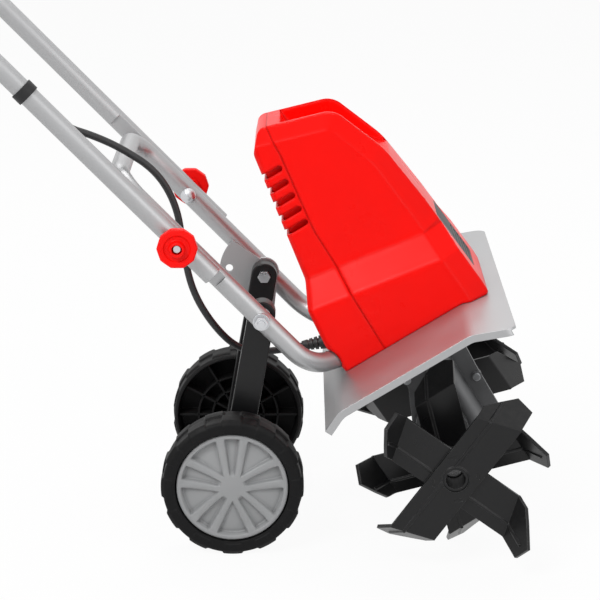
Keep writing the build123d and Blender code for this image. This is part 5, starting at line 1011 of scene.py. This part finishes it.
# %% Powder coat finishes
PAINTS = {
    "silver": dict(
        colour=(0.42, 0.422, 0.428), bare=(0.55, 0.55, 0.56), metallic=0.8, rough=(0.38, 0.47), rub=0.4,
        grain=0.0016, depth=0.00005, strength=0.25, dust=0.02, specular=0.5, corner=0.0010,
    ),
    "black_paint": dict(
        colour=(0.006, 0.006, 0.0065), bare=(0.16, 0.16, 0.165), metallic=0.0, rough=(0.26, 0.38), rub=0.5,
        grain=0.0018, depth=0.00007, strength=0.35, dust=0.03, specular=0.3, corner=0.0012,
    ),
}
for slot, look in PAINTS.items():
    material, tree, shader = start_finish(slot)
    # recess=0.4 is the painted shade in the recesses
    wander_out = colour_chain(
        tree, shader, look["colour"], drift=0.04, patch=0.07, bare=look["bare"], rub=look["rub"],
        rub_width=0.0008, dust=look["dust"], recess=0.4,
    )
    gloss_chain(tree, shader, wander_out, *look["rough"])
    peel = use(tree, grain_tree, Grain_size=look["grain"], Pebble_share=0.15)
    bump_chain(tree, shader, peel.outputs["Height"], look["depth"], look["strength"], look["corner"])
    feed(shader, Metallic=look["metallic"], Specular_IOR_Level=look["specular"])
    finishes[slot] = material
print("paints:", ", ".join(PAINTS))

# %% [markdown]
# Bare metals
#
# The bolts, nuts, pins, pull ring and switch lever are zinc plated, bright with a faint cool tint. The
# shafts, bearings and spring are ground steel, the motor frame and the gearcase are dark cast aluminium with
# a sand-like skin, the windings are copper and the cores are stacked iron. They differ in colour, in gloss,
# and in whether the skin is ground, wound or cast.

# %% Metal finishes
EDGE_GAIN = 1.25
METALS = {
    "zinc": dict(
        colour=(0.62, 0.63, 0.65), rough=(0.24, 0.38), size=0.0006, lay=(1, 1, 0.06), depth=0.00004,
    ),
    "steel": dict(
        colour=(0.50, 0.50, 0.51), rough=(0.22, 0.34), size=0.0005, lay=(1, 0.04, 1), depth=0.00004,
    ),
    "copper": dict(
        colour=(0.72, 0.30, 0.16), rough=(0.26, 0.38), size=0.0007, lay=(0.05, 1, 1), depth=0.00012,
    ),
    "iron": dict(
        colour=(0.27, 0.265, 0.26), rough=(0.40, 0.55), size=0.0006, lay=(0.03, 0.03, 1), depth=0.00008,
    ),
    "cast_aluminium": dict(
        colour=(0.12, 0.121, 0.124), rough=(0.42, 0.58), size=0.0014, lay=(1, 1, 1), depth=0.00012,
    ),
}
for slot, look in METALS.items():
    material, tree, shader = start_finish(slot)
    lighter = tuple(min(1, EDGE_GAIN * part) for part in look["colour"])
    # recess=0.5 is the painted shade in the recesses
    wander_out = colour_chain(
        tree, shader, look["colour"], drift=0.06, patch=0.02, bare=lighter, rub=0.5, rub_width=0.0006,
        dust=0.03, recess=0.5,
    )
    gloss_chain(tree, shader, wander_out, *look["rough"])
    hair = use(tree, lines_tree, Line_size=look["size"], Lay=look["lay"])
    bump_chain(tree, shader, hair.outputs["Height"], look["depth"], strength=0.4, corner=0.0005)
    feed(shader, Metallic=1.0)
    finishes[slot] = material
print("metals:", ", ".join(METALS))

# %% [markdown]
# Rubber and foam
#
# The lead's jacket, its gland and the seals are soft black rubber with a dull, slightly chalky skin. The
# grip's foam has a black sponge skin of small pits, so its grain is nearly all pebbles and quite deep.

# %% Rubber and foam finishes
SOFT = {
    "rubber": dict(colour=(0.013, 0.013, 0.014), rough=(0.42, 0.56), grain=0.0009, pebble=0.3, depth=0.00006),
    "foam": dict(colour=(0.018, 0.018, 0.018), rough=(0.80, 0.95), grain=0.0012, pebble=0.95, depth=0.00035),
}
for slot, look in SOFT.items():
    material, tree, shader = start_finish(slot)
    # recess=0.4 is the painted shade in the recesses
    wander_out = colour_chain(
        tree, shader, look["colour"], drift=0.08, patch=0.03, bare=(0.05, 0.05, 0.05), rub=0.3,
        rub_width=0.0008, dust=0.05, recess=0.4,
    )
    gloss_chain(tree, shader, wander_out, *look["rough"])
    skin = use(tree, grain_tree, Grain_size=look["grain"], Pebble_share=look["pebble"])
    bump_chain(tree, shader, skin.outputs["Height"], look["depth"], strength=0.7, corner=0.0008)
    finishes[slot] = material
print("soft:", ", ".join(SOFT))

# %% [markdown]
# Dressing the pieces
#
# Each CAD node names the finish it wants in the shared record, so one loop dresses them all. Only the
# material slot of the object changes; the mesh stays as the CAD made it. A second loop dresses the pieces
# made here.

# %% Give every node and piece its finish
NEW_PIECES = {
    "rubber": [lead],
    "foam": [grip],
    # the box that puts shade behind the vents takes the housing's red
    "red_cover": [vent_shade_box],
    "cap_grey": caps,
    "wheel_black": wheels,
    "red_knob": knobs,
}
for row in frame["record"]["subparts"]:
    dressed = frame["nodes"][row["node"]]
    dressed.data.materials.clear()
    dressed.data.materials.append(finishes[row["material_slot"]])
for slot, pieces in NEW_PIECES.items():
    for piece in pieces:
        piece.data.materials.append(finishes[slot])

# %% [markdown]
# Floor and background
#
# The picture is taken on white. A white floor lit by lamps would need so much light that the machine would
# burn out, so what the camera and the reflections see of the floor is mostly a plain white glow, mixed with
# a matte floor that still takes the machine's soft shadow.

# %% A white floor that keeps the shadow
FLOOR_HALF = 12.0
FLOOR_GLOW = 0.94

floor_shape = bmesh.new()
bmesh.ops.create_grid(floor_shape, x_segments=1, y_segments=1, size=FLOOR_HALF)
floor_mesh = bpy.data.meshes.new("studio_floor")
floor_shape.to_mesh(floor_mesh)
floor_shape.free()
floor = bpy.data.objects.new("studio_floor", floor_mesh)
scene.collection.objects.link(floor)


def seen_rays(tree):
    """One where the camera, a reflection or a clear material looks, zero for plain light."""
    path = put(tree, "LightPath")
    camera_or_mirror = put(tree, "Math", operation="MAXIMUM")
    tree.links.new(path.outputs["Is Camera Ray"], camera_or_mirror.inputs[0])
    tree.links.new(path.outputs["Is Glossy Ray"], camera_or_mirror.inputs[1])
    or_clear = put(tree, "Math", operation="MAXIMUM")
    tree.links.new(camera_or_mirror.outputs[0], or_clear.inputs[0])
    tree.links.new(path.outputs["Is Transmission Ray"], or_clear.inputs[1])
    return or_clear.outputs[0]


paper = bpy.data.materials.new("white_paper")
paper.use_nodes = True
paper_tree = paper.node_tree
paper_tree.nodes.clear()
matte = feed(put(paper_tree, "BsdfDiffuse"), Color=(0.86, 0.86, 0.86, 1))
glow = feed(put(paper_tree, "Emission"), Color=(1, 1, 1, 1), Strength=1.0)
paper_mix = put(paper_tree, "MixShader")
paper_end = put(paper_tree, "OutputMaterial")
paper_tree.links.new(times(paper_tree, seen_rays(paper_tree), FLOOR_GLOW), paper_mix.inputs[0])
paper_tree.links.new(matte.outputs[0], paper_mix.inputs[1])
paper_tree.links.new(glow.outputs[0], paper_mix.inputs[2])
paper_tree.links.new(paper_mix.outputs[0], paper_end.inputs["Surface"])
floor_mesh.materials.append(paper)
print(f"floor {2 * FLOOR_HALF:.0f} m wide")

# %% [markdown]
# Light
#
# A large soft lamp stands high on the left in front, a weaker one fills from the right, and one behind and
# above draws the upper edges. The world adds an even grey, as the white walls of a studio do, and shows
# white to the camera and to reflections.

# %% Lamps and world
LAMPS = [
    ("key_lamp", (-1.1, -2.0, 2.5), 52, 1.3),
    ("fill_lamp", (2.2, -1.6, 1.3), 14, 1.6),
    ("top_lamp", (0.2, 1.1, 2.6), 30, 1.6),
]
LAMP_AIM = Vector((0.15, 0, 0.4))
WORLD_GREY = 0.42

for name, place, power, side in LAMPS:
    lamp = bpy.data.lights.new(name, "AREA")
    lamp.energy = power
    lamp.size = side
    stand = bpy.data.objects.new(name, lamp)
    stand.location = place
    stand.rotation_euler = (LAMP_AIM - Vector(place)).to_track_quat("-Z", "Y").to_euler()
    scene.collection.objects.link(stand)

world = bpy.data.worlds.new("white_studio")
world.use_nodes = True
scene.world = world
sky_tree = world.node_tree
sky = sky_tree.nodes["Background"]
sky.inputs["Color"].default_value = (1, 1, 1, 1)
brightness = mix(sky_tree, "FLOAT", seen_rays(sky_tree), WORLD_GREY, 1.0)
sky_tree.links.new(brightness, sky.inputs["Strength"])
print(len(LAMPS), "lamps and a white world")
